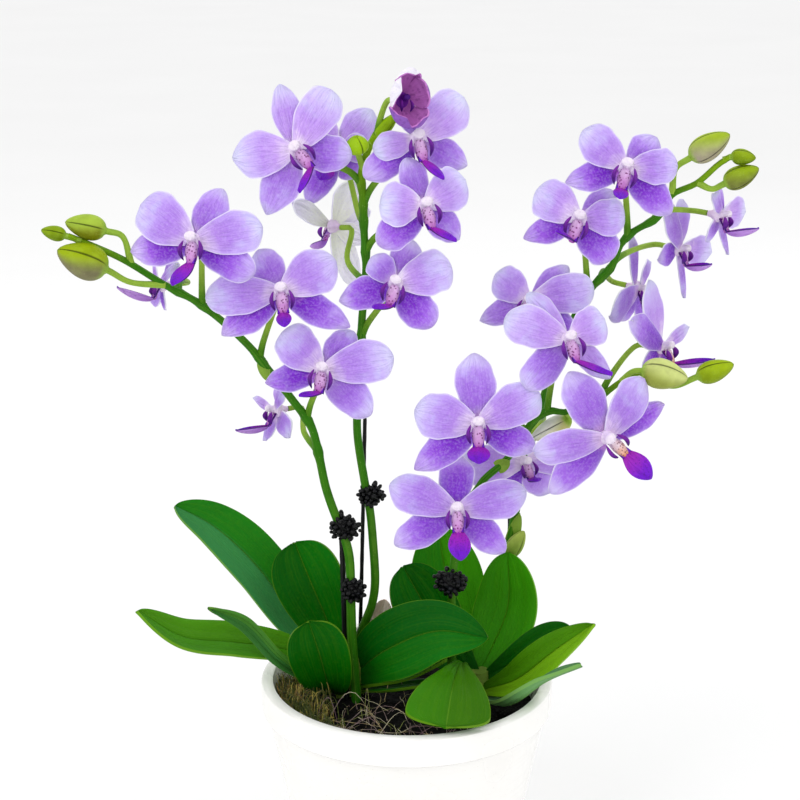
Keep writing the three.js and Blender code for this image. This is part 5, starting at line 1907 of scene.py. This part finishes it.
@dataclass
class CupBloom(Bloom):
    """A bloom that has only begun to open: a tall cup of five tepals round the column."""

    wide: float = 8.5
    high: float = 12.5
    depth: float = 9.0
    rises: tuple[float, ...] = (-0.1, 0.1, 0.3, 0.5, 0.75, 0.95, 1.1)
    radii: tuple[float, ...] = (0.2, 0.55, 0.8, 0.95, 1.0, 0.92, 0.75)
    # The hood over the column is narrower than the other walls and rounder across
    hood: tuple[float, float] = (5.4, 0.012)
    other: tuple[float, float] = (6.4, 0.007)
    white_backed: tuple[float, ...] = (0, 288)

    def _wall(self, degrees: float) -> Form:
        """Shapes one tepal of the cup.

        Args:
            degrees: Its turn round the cup, from the hood.

        Returns:
            The form, thickened, with its own back.
        """
        form = Form.sheet(14, 20)
        aside, share = form.grid()
        share = np.sin(np.pi / 2 * share)
        rise = self.rises[0] + (self.rises[-1] - self.rises[0]) * share
        radius = np.interp(rise, self.rises, self.radii)
        widest, bend = self.hood if degrees == 0 else self.other
        offset = aside * widest * outline(share, 0.34, 0.55, 0.75)
        out_x, out_y = math.sin(math.radians(degrees)), math.cos(math.radians(degrees))
        inward = 1 - bend * offset ** 2
        x = out_x * radius * self.wide * inward - out_y * offset
        y = out_y * radius * self.high * inward + out_x * offset
        form.put(self.frame.place(x, y, rise * self.depth)).uv((aside + 1) / 2, share).tint(PLAIN)
        form.finish(self.palette("young", "back" if degrees in self.white_backed else "young_back"))
        return form.thicken(self.thickness).backed(-self.frame.right * out_x - self.frame.up * out_y, 1, 0)

    def build(self) -> None:
        """Builds the cup's piece."""
        walls = [self._wall(degrees) for degrees in range(0, 360, 72)]
        heart = [self._side_lobe(1), self._side_lobe(-1), self._column().finish(self.palette("lobe"))]
        Form.joined(walls + heart).piece(self.spec.name, "young_bloom", self.spec.name)


@dataclass
class Leaf:
    """A strap leaf with a channel along its rib and a slight wave in its edges."""

    spec: LeafSpec
    palette: Palette
    seed: int
    thickness: float = 1.5
    finishes: tuple[str, str] = ("leaf_top", "leaf_under")
    slot: str = "leaf"
    wave: float = 0.6
    groove_depth: float = 0.35
    groove_width: float = 0.9
    bow_height: float = 0.35

    def form(self) -> Form:
        """Shapes the leaf from a sheet.

        Returns:
            The form, thickened, with its own underside.
        """
        spec, draw = self.spec, random.Random(self.seed)
        route = seen_route(spec.rib)
        look = unit(np.array(spec.face, float))
        form = Form.sheet(20, 54)
        aside, share = form.grid()
        share = np.sin(np.pi / 2 * share)
        order, back = np.unique(np.round(share, 6), return_inverse=True)
        centres = route.at(order)
        alongs = np.array([route.along(float(at)) for at in order])
        ups = look - alongs * (alongs @ look)[:, None]
        ups /= np.linalg.norm(ups, axis=1)[:, None]
        sides = np.cross(alongs, ups)
        half = spec.width / 2 * outline(order, spec.root, spec.widest, spec.tip, spec.spread)
        half, centre, up, side = half[back], centres[back], ups[back], sides[back]
        phase, out, middle = draw.uniform(0, TURN), np.abs(aside), np.sin(np.pi * share)
        raised = half * spec.fold * (out ** 1.25 - 0.12 * out ** 6)
        ripple = self.wave * out ** 2 * np.sin(6.5 * share + phase + np.sign(aside)) * middle
        groove = self.groove_depth * np.exp(-(aside * half / self.groove_width) ** 2)
        lift = raised + ripple - groove + self.bow_height * np.sin(3 * np.pi * out) * middle
        form.put(centre + side * (aside * half)[:, None] + up * lift[:, None])
        near, far = np.array(spec.near), np.array(spec.far or spec.near)
        tints = near + (far - near) * smooth(aside, 0.03, -0.03)[:, None]
        form.uv((aside + 1) / 2, share).tint(tints)
        form.finish(self.palette(*self.finishes))
        return form.weld().thicken(self.thickness).backed(look, 1, 0)

    def build(self) -> None:
        """Builds the leaf's piece."""
        self.form().piece(self.spec.name, self.slot, self.spec.name)


@dataclass
class Spike:
    """A flower spike: its stem, the stalks of its blooms, its buds and its bracts."""

    spec: SpikeSpec
    blooms: Sequence[BloomSpec]
    palette: Palette
    base: Colour = tone(24, 92, 0)
    green: Colour = tone(46, 114, 2)
    end: Colour = tone(128, 168, 6)
    stalk_foot: Colour = tone(66, 126, 8)
    young: Colour = tone(146, 182, 62)
    bract: Colour = tone(132, 168, 60)
    swelling: float = 0.55
    swelling_reach: float = 2.6
    stem_step: float = 2.2
    bud_steps: int = 72
    bract_thickness: float = 0.8

    def __post_init__(self) -> None:
        """Runs the stem's route."""
        self.route = seen_route(self.spec.route, standing=True)

    @staticmethod
    def _blend(share: Vec, low: Union[Colour, Vec], high: Union[Colour, Vec]) -> Vec:
        """Colours from one to another by a share."""
        return np.array(low) + (np.array(high) - np.array(low)) * share[:, None]

    def _joint(self, bloom: BloomSpec) -> float:
        """The share of the stem where a bloom's stalk leaves it."""
        depth = float(self.route.at(0.7)[1])
        return self.route.nearest(EYE.seen(*bloom.joins, depth))

    def _stem(self) -> Form:
        """Shapes the stem, a little swollen where stalks leave it, and paler towards its end.

        Returns:
            The closed form.
        """
        joints = [self._joint(bloom) for bloom in self.blooms]
        spec, length = self.spec, self.route.length

        def radius(shares: Vec) -> Vec:
            """Gives the stem's radii.

            Args:
                shares: Shares of its length.

            Returns:
                The radii.
            """
            radii = spec.thick + (spec.thin - spec.thick) * shares
            for joint in joints:
                away = (shares - joint) * length / self.swelling_reach
                radii = radii + self.swelling * np.exp(-away ** 2)
            return radii

        form = tube(self.route, radius, 14, round(length / self.stem_step))
        tints = self._blend(smooth(form.shares, spec.pales, 1.0), self.green, self.end)
        form.tint(self._blend(smooth(form.shares, 0.2, 0.02), tints, self.base))
        return form.finish(self.palette("stalk_skin"))

    def _stalk(self, bloom: BloomSpec) -> Form:
        """Shapes the stalk from the stem to behind a bloom's neck.

        Args:
            bloom: The bloom.

        Returns:
            The closed form.
        """
        frame = BloomFrame(bloom)
        start = self.route.at(self._joint(bloom))
        end = frame.place(0, 0, -NECK_LENGTH - FIT_GAP)
        reach = float(np.linalg.norm(end - start))
        before = frame.place(0, 0, -NECK_LENGTH - FIT_GAP - min(6, reach * 0.3))
        out = unit(unit(before - start) + np.array([0, 0, 0.5]))
        bend = EYE.seen(*bloom.via) if bloom.via else start + out * min(7, reach * 0.35)
        route = Route([start, bend, before, end])
        form = tube(route, lambda shares: PEDICEL_RADIUS * (1 + 0.35 * (1 - shares) ** 3), 12, 30)
        form.tint(self._blend(smooth(form.shares, 0.05, 0.5), self.stalk_foot, self.young))
        return form.finish(self.palette("stalk_skin"))

    def _bud(self, bud: BudSpec) -> Form:
        """Shapes a bud and its stalk, as one swelling form with three seams.

        Args:
            bud: The bud.

        Returns:
            The closed form.
        """
        spots = [bud.start, *([bud.via] if bud.via else []), bud.at, bud.tip]
        points = [EYE.seen(*spot) for spot in spots]
        route = Route(points)
        foot = route.nearest(points[-2])

        def past(shares: Vec) -> Vec:
            """Shares of the bud's own length, from its foot, which are 0 on its stalk."""
            return np.clip((shares - foot) / (1 - foot), 0, 1)

        def radius(shares: Vec) -> Vec:
            """The radii: an egg past the bud's foot, and a thin stalk before it."""
            stalk = PEDICEL_RADIUS * np.interp(shares, (0, foot * 0.5, foot, 1), (1.3, 1.0, 1.15, 0))
            return np.maximum(bud.radius * np.sin(np.pi * past(shares) ** 0.72) ** 0.6, stalk)

        def crease(turn: Vec, shares: Vec) -> Vec:
            """The seams between the bud's three outer sepals."""
            return 1 - 0.1 * np.exp(-(np.sin(1.5 * turn + 0.4) / 0.16) ** 2) * np.sin(np.pi * past(shares))

        form = tube(route, radius, 40, self.bud_steps, 1, crease)
        own = past(form.shares)
        # The bud's own colour changes from foot to tip and from underside to top; the top is also painted
        # lighter and the underside and left side darker, as painted light and painted shade.
        below = 0.5 - 0.5 * form.outward[:, 2] - 0.2 * form.outward[:, 0]
        colours = self._blend(smooth(below + 0.5 * (1 - own) - 0.25, 0.2, 0.8), bud.tip_colour, bud.colour)
        form.tint(self._blend(smooth(own, 0.02, 0.16), self.young, colours))
        return form.wrap(form.turn, own).finish(self.palette("bud_skin"))

    def _bract(self, bract: BractSpec) -> Form:
        """Shapes a pointed, cupped bract.

        Args:
            bract: The bract.

        Returns:
            The closed form.
        """
        start, tip = EYE.seen(*bract.start), EYE.seen(*bract.tip)
        face = unit(np.array([0, -1, 0.2]))
        side = np.cross(unit(tip - start), face)
        form = Form.sheet(8, 12)
        aside, share = form.grid()
        half = bract.width * 0.5 * outline(share, 0.85, 0.25, 0.75)
        lift = -0.28 * half * aside ** 2
        points = start + (tip - start) * share[:, None]
        form.put(points + side * (aside * half)[:, None] + face * (lift + 0.4)[:, None])
        form.uv((aside + 1) / 2, share).tint(self.bract).finish(self.palette("stalk_skin"))
        return form.weld().thicken(self.bract_thickness)

    def build(self) -> None:
        """Builds the spike's piece."""
        forms = [self._stem(), *map(self._stalk, self.blooms)]
        forms += [*map(self._bud, self.spec.buds), *map(self._bract, self.spec.bracts)]
        name = "spike_" + self.spec.name
        Form.joined(forms).piece(name, "stem", name)


@dataclass
class Crown:
    """The short stem that a plant's leaves clasp."""

    name: str
    at: Spot
    top: float
    palette: Palette
    radius: float = 7.0
    taper: float = 0.35
    scar: float = 0.04
    scars: float = 38
    colour: Colour = tone(104, 132, 50)

    def build(self) -> None:
        """Builds the crown's piece, ringed by the scars of old leaves."""
        x, y, _ = EYE.seen(*self.at)
        route = Route([np.array([x, y, z]) for z in (ROOT_DEPTH, (ROOT_DEPTH + self.top) / 2, self.top)])
        form = tube(
            route, lambda shares: self.radius * (1 - self.taper * shares ** 2)
            * (1 - self.scar * np.sin(shares * self.scars) ** 4), 28, 40,
        )
        name = "crown_" + self.name
        form.tint(self.colour).finish(self.palette("stalk_skin")).piece(name, "crown", name)


@dataclass
class Pot:
    """A plain round pot with a band round its mouth and a flat foot."""

    palette: Palette
    sides: int = 96
    wall_steps: int = 14
    edge: float = 1.5

    def profile(self) -> list[Pixel]:
        """Draws the closed section.

        Returns:
            Radii and heights, from the middle of the foot to the middle of the floor.
        """
        band = MOUTH_RADIUS + RIM_WALL
        under = POT_HEIGHT - RIM_DEPTH
        edge = self.edge
        inner = band - BAND_STEP - POT_WALL
        points = [
            (0, 0), (FOOT_RADIUS - edge, 0), (FOOT_RADIUS - edge * 0.3, edge * 0.3), (FOOT_RADIUS, edge),
        ]
        wall_foot, wall_top = (FOOT_RADIUS, edge), (band - BAND_STEP, under - BAND_CURVE)
        for step in range(1, self.wall_steps):
            share = step / self.wall_steps
            points.append(tuple(a + (b - a) * share for a, b in zip(wall_foot, wall_top)))
        points += [
            wall_top, (band - BAND_STEP * 0.8, under - BAND_CURVE * 0.4), (band - edge, under - 0.2),
            (band - edge / 2, under), (band - 0.3, under + 0.5), (band, POT_HEIGHT - edge),
            (band - edge * 0.3, POT_HEIGHT - edge * 0.3), (band - edge, POT_HEIGHT),
            (MOUTH_RADIUS + edge / 2, POT_HEIGHT), (MOUTH_RADIUS + 0.2, POT_HEIGHT - 0.25),
            (MOUTH_RADIUS, POT_HEIGHT - edge / 2), (inner, under - 2 * BAND_CURVE),
            (FOOT_RADIUS - POT_WALL, FLOOR_THICKNESS), (0, FLOOR_THICKNESS),
        ]
        return points

    def build(self) -> None:
        """Builds the pot's piece by laying its section round a ball's rings."""
        profile = np.array(self.profile(), float)
        steps = len(profile) - 1
        form = Form.ball(self.sides, steps)
        turn, polar = form.globe()
        ring = np.rint(polar * steps).astype(int)
        form.put(around(turn, profile[ring, 0], profile[ring, 1])).wrap(turn, ring / steps)
        form.finish(self.palette("pot_glaze")).weld(outwards=True).piece("pot", "glaze", "pot", angle=35)


@dataclass
class Medium:
    """Dark medium that fills the pot, with chips, moss and dry strands on it."""

    palette: Palette
    sides: int = 120
    rings: int = 56
    side_rings: int = 12
    swell: float = 2.5
    waves: int = 26
    seed: int = 3
    wave_lengths: tuple[float, float] = (5, 19)
    lump: float = 0.8

    @staticmethod
    def radius(height: Union[float, Vec]) -> Vec:
        """Gives the medium's radius, which keeps clear of the pot's wall.

        Args:
            height: Heights, in millimetres.

        Returns:
            The radii there.
        """
        top = POT_HEIGHT - RIM_DEPTH - 2 * BAND_CURVE
        share = np.minimum(1, (height - FLOOR_THICKNESS) / (top - FLOOR_THICKNESS))
        foot = FOOT_RADIUS - POT_WALL
        mouth = MOUTH_RADIUS + RIM_WALL - BAND_STEP - POT_WALL
        return foot + (mouth - foot) * share - 2 * FIT_GAP

    def _lumps(self, x: Vec, y: Vec) -> Vec:
        """Adds up waves that run every way over the top.

        Args:
            x: Places across.
            y: Places in depth.

        Returns:
            The height of the lumps, in millimetres before they are scaled.
        """
        high = np.zeros(len(x))
        draw = random.Random(self.seed)
        for _ in range(self.waves):
            angle, wave = draw.uniform(0, TURN), draw.uniform(*self.wave_lengths)
            phase = draw.uniform(0, TURN)
            way = x * math.cos(angle) + y * math.sin(angle)
            high += np.sin(way * 2 * np.pi / wave + phase) / self.waves ** 0.5
        return high

    def top(self, x: Vec, y: Vec) -> Vec:
        """The height of the medium's top at places across and in depth, in millimetres."""
        share = np.minimum(1, np.hypot(x, y) / self.radius(MEDIUM_TOP))
        return MEDIUM_TOP + self.swell * (1 - share ** 2) + self._lumps(x, y) * self.lump * (1 - share ** 6)

    def build_body(self) -> None:
        """Builds the body of the medium: its side first, and then its top."""
        form = Form.ball(self.sides, self.rings)
        turn, polar = form.globe()
        ring = np.rint(polar * self.rings).astype(int)
        low = FLOOR_THICKNESS + FIT_GAP
        height = low + (MEDIUM_TOP - 0.4 - low) * np.clip((ring - 1) / self.side_rings, 0, 1)
        inward = np.clip((ring - 1 - self.side_rings) / (self.rings - 1 - self.side_rings), 0, 1)
        radius = np.where(ring == 0, 0, self.radius(height) * (1 - inward))
        places = around(turn, radius, height)
        places[:, 2] = np.where(inward > 0, self.top(places[:, 0], places[:, 1]), height)
        form.put(places).wrap(turn, polar).finish(self.palette("medium_soil"))
        form.weld(outwards=True).piece("potting_medium", "medium", "potting_medium")


@dataclass
class Stake:
    """A thin black stake."""

    spec: StakeSpec
    palette: Palette
    unevenness: float = 0.04
    sides: int = 14
    steps: int = 90

    def build(self) -> None:
        """Builds the stake's piece."""

        def radius(shares: Vec) -> Vec:
            """The stake's radii, faintly uneven and drawn in at its top."""
            uneven = 1 + self.unevenness * np.sin(shares * self.steps)
            return self.spec.radius * uneven * (1 - 0.5 * smooth(shares, 0.985, 1.0))

        route = seen_route(self.spec.route, standing=True)
        form = tube(route, radius, self.sides, self.steps).tint(BLACK)
        form.finish(self.palette("black_plastic")).piece(self.spec.name, "black", self.spec.name)


@dataclass
class Clip:
    """A claw clip: a core set all over with small knobs and spurs."""

    spec: ClipSpec
    palette: Palette
    seed: int
    knobs: int = 58
    core_share: float = 0.62
    roughness: float = 0.1
    spur_share: float = 0.4
    spur_length: float = 1.55

    def build(self) -> None:
        """Builds the clip's piece, with its knobs spread evenly over the core."""
        draw = random.Random(self.seed)
        centre = EYE.seen(*self.spec.at)
        half = np.array(self.spec.size) / 2
        core, model = Form.pebble(3), Form.pebble(2)
        places, base = core.places(1.0), model.places(1.0)
        rough = self.core_share + self.roughness * np.sin(places @ np.array([9.0, 7.0, 11.0]))
        forms = [core.put(centre + places * half * rough[:, None])]
        golden = math.pi * (3 - 5 ** 0.5)
        for index in range(self.knobs):
            z = 1 - 2 * (index + 0.5) / self.knobs
            out = around(golden * index, (1 - z * z) ** 0.5, z)
            reach, size = draw.uniform(0.6, 0.9), draw.uniform(0.75, 1.25)
            spur = self.spur_length if draw.random() < self.spur_share else 1.0
            knob = base * size + out * ((base @ out) * (spur - 1) * size)[:, None]
            forms.append(model.copy().put(centre + out * half * reach + knob))
        bpy.data.objects.remove(model.obj)
        for form in forms:
            form.tint(BLACK).finish(self.palette("black_plastic"))
        Form.joined(forms).piece(self.spec.name, "black", self.spec.name)


@dataclass
class Litter:
    """What lies on the medium: bark chips, moss and dry strands."""

    medium: Medium
    palette: Palette
    # Seeds of the chips, the moss and the straws, and how many there are of each
    seeds: tuple[int, int, int] = (21, 5, 9)
    chips: int = 70
    tufts: int = 1600
    straws: int = 120
    # How far out chips and straws lie, and how far out the moss does and how much it spreads
    chip_reach: float = 54
    straw_reach: float = 56
    moss_reach: tuple[float, float] = (58, 8)
    # Where most moss and straws lie, in degrees round the pot, and how far they spread
    moss_turn: tuple[float, float] = (198, 24)
    straw_turn: tuple[float, float] = (240, 38)
    # Where the moss heaps up, in radians round the pot, how wide the heap is and how high
    heap: tuple[float, float, float] = (math.radians(190), 0.45, 13)
    moss_radius: float = 0.24
    straw_radius: float = 0.14
    straw_steps: int = 9
    arch_every: int = 6

    def _on_top(self, x: float, y: float, lift: float = 0.0) -> Vec:
        """The point over a place on the medium's top, lifted off it."""
        return np.array([x, y, float(self.medium.top(np.array([x]), np.array([y]))[0]) + lift])

    @staticmethod
    def _inside(points: Sequence[Vec]) -> Vec:
        """Keeps a strand inside the pot's mouth.

        Args:
            points: Its points.

        Returns:
            The points, with those that lay outside moved in.
        """
        inner = np.array(points)
        away = np.hypot(inner[:, 0], inner[:, 1])
        inner[:, :2] *= np.minimum(1, (MOUTH_RADIUS - 1.2) / np.maximum(away, 1e-6))[:, None]
        return inner

    def _strands(self, name: str, finish: str, routes: Sequence[Vec], shades: Sequence[Colour],
                 radius: float, taper: float) -> None:
        """Builds a piece of strands that each have a tint of their own.

        Args:
            name: The piece's name.
            finish: Its finish.
            routes: The points of each strand.
            shades: The tint of each strand.
            radius: Their radius at the root.
            taper: Share of the radius left at the end.
        """
        form = Form.strands(routes, radius, taper)
        count = len(form.places())
        form.uv(np.zeros(count), np.zeros(count))
        form.tint(np.repeat(np.array(shades), count // len(shades), axis=0))
        form.finish(self.palette(finish)).piece(name, "medium")

    def build_chips(self) -> None:
        """Builds the bark chips: jagged pebbles, flattened, each with its own size and turn."""
        draw = random.Random(self.seeds[0])
        model = Form.pebble(2)
        base = model.places(1.0)
        jag = 1 + 0.25 * np.sin(base @ np.array([5.0, 3.0, 8.0]))
        forms = []
        for _ in range(self.chips):
            away, turn = self.chip_reach * draw.random() ** 0.5, draw.uniform(0, TURN)
            size = np.array([draw.uniform(1.6, 4.2), draw.uniform(1.0, 2.4), draw.uniform(0.6, 1.3)])
            spin = draw.uniform(0, TURN)
            chip = base * size * jag[:, None]
            cos, sin = math.cos(spin), math.sin(spin)
            turned = chip @ np.array([(cos, sin, 0), (-sin, cos, 0), (0, 0, 1)])
            spot = self._on_top(away * math.cos(turn), away * math.sin(turn), 0.3)
            forms.append(model.copy().put(turned + spot).finish(self.palette("medium_soil")))
        bpy.data.objects.remove(model.obj)
        Form.joined(forms).piece("bark_chips", "medium")

    def build_moss(self) -> None:
        """Builds the moss: short strands that lean every way, thickest at the front left."""
        draw = random.Random(self.seeds[1])
        routes, shades = [], []
        middle, width, height = self.heap
        for _ in range(self.tufts):
            turn = math.radians(draw.gauss(*self.moss_turn))
            away = self.moss_reach[0] - abs(draw.gauss(0, self.moss_reach[1]))
            foot = self._on_top(away * math.cos(turn), away * math.sin(turn), -0.4)
            lean = draw.uniform(0, TURN)
            heap = height * math.exp(-((turn - middle) / width) ** 2)
            reach, rise = draw.uniform(1.5, 6.5), draw.uniform(2.0, 5.0 + heap)
            share = np.linspace(0, 1, 5)
            strand = around(lean, reach * share ** 1.5, rise * (1 - (1 - share) ** 2))
            routes.append(self._inside(foot + strand))
            shades.append(draw.choice(MOSS_TINTS))
        self._strands("moss", "moss", routes, shades, self.moss_radius, 0.3)

    def build_straw(self) -> None:
        """Builds the dry strands that lie criss-cross on the medium, some of them in a high arch."""
        draw = random.Random(self.seeds[2])
        routes, shades = [], []
        for index in range(self.straws):
            turn = math.radians(draw.gauss(*self.straw_turn))
            away = self.straw_reach * draw.random() ** 0.35
            x, y = away * math.cos(turn), away * math.sin(turn)
            heading = draw.uniform(0, TURN)
            curl = draw.gauss(0, 0.025)
            rise = draw.uniform(6, 15) if index % self.arch_every == 0 else draw.uniform(0.3, 4.0)
            stride = draw.uniform(9, 34) / self.straw_steps
            points = []
            for share in np.linspace(0, 1, self.straw_steps):
                height = 0.5 + rise * math.sin(math.pi * share) + draw.gauss(0, 0.12)
                points.append(self._on_top(x, y, height))
                heading += curl * stride
                x += math.cos(heading) * stride
                y += math.sin(heading) * stride
            routes.append(self._inside(points))
            shades.append(draw.choice(STRAW_TINTS))
        self._strands("dry_strands", "straw", routes, shades, self.straw_radius, 0.5)


@dataclass
class Studio:
    """The camera at the photograph's eye, soft lights and a pale floor."""

    eye: Eye = EYE
    picture: float = 800.0
    sensor: float = 36.0
    looks_at: Spot = (0, 0, 0.2)
    lamps: tuple[tuple[str, Spot, float, float], ...] = (
        ("key", (-0.9, -1.1, 1.5), 6.5, 1.0), ("fill", (1.2, -0.8, 0.9), 2, 1.2),
        ("back", (0.3, 1.2, 1.3), 2, 1.0),
    )
    floor_size: float = 60

    def camera(self) -> None:
        """Sets the camera."""
        bpy.ops.object.camera_add(
            location=tuple(v * MM for v in self.eye.place), rotation=(math.pi / 2 - self.eye.down, 0, 0),
        )
        held = bpy.context.active_object
        held.name = "camera"
        held.data.sensor_width = self.sensor
        held.data.lens = self.eye.focus / self.picture * self.sensor
        bpy.context.scene.camera = held

    def light(self, name: str, place: Spot, power: float, size: float) -> None:
        """Adds a soft square light that looks at the plant.

        Args:
            name: Its name.
            place: Where it hangs, in metres.
            power: Its power in watts.
            size: Its side, in metres.
        """
        bpy.ops.object.light_add(type="AREA", location=place)
        lamp = bpy.context.active_object
        lamp.name = name
        lamp.data.energy = power
        lamp.data.size = size
        x, y, z = np.array(self.looks_at) - np.array(place)
        lamp.rotation_euler = (math.pi / 2 + math.atan2(z, math.hypot(x, y)), 0, math.atan2(-x, y))

    def surroundings(self) -> None:
        """Sets the even light of the room and the floor."""
        world = bpy.context.scene.world or bpy.data.worlds.new("room")
        bpy.context.scene.world = world
        world.use_nodes = True
        sky = world.node_tree.nodes["Background"]
        sky.inputs[0].default_value = PLAIN
        sky.inputs[1].default_value = 1.0
        Form.clear()
        bpy.ops.mesh.primitive_plane_add(size=self.floor_size)
        floor = bpy.context.active_object
        floor.name = "floor"
        paint = Painter("floor", Specular_IOR_Level=0.1)
        cloud = paint.noise(3, 2)
        colour = paint.mix(cloud, tone(243, 243, 243), tone(247, 247, 247))
        floor.data.materials.append(paint.done(colour, cloud, 0.0001, 0.9))

    def build(self) -> None:
        """Builds the studio."""
        self.camera()
        self.surroundings()
        for lamp in self.lamps:
            self.light(*lamp)
        bpy.context.scene.view_settings.view_transform = "Standard"


def dress() -> None:
    """Builds the whole plant, piece by piece."""
    palette = Palette()
    Pot(palette).build()
    medium = Medium(palette)
    medium.build_body()
    litter = Litter(medium, palette)
    litter.build_chips()
    litter.build_moss()
    litter.build_straw()
    for name, (at, top) in CROWNS.items():
        Crown(name, at, top, palette).build()
    for index, spec in enumerate(LEAVES):
        Leaf(spec, palette, 40 + index).build()
    Leaf(DRY_SHEATH, palette, 77, thickness=0.9, finishes=("paper", "paper"), slot="dry", wave=1.0).build()
    for spec in SPIKES:
        Spike(spec, [bloom for bloom in BLOOMS if bloom.spike == spec.name], palette).build()
    for spec in STAKES:
        Stake(spec, palette).build()
    for index, spec in enumerate(CLIPS):
        Clip(spec, palette, 60 + index).build()
    for index, spec in enumerate(BLOOMS):
        kind = CupBloom if spec.opening is Opening.CUP else Bloom
        kind(spec, palette, 100 + index).build()


def main() -> None:
    """Builds the plant and the studio, and notes the sizes."""
    logging.basicConfig(level=logging.INFO, format="%(name)s: %(message)s")
    dress()
    Studio().build()


if __name__ == "__main__":
    main()
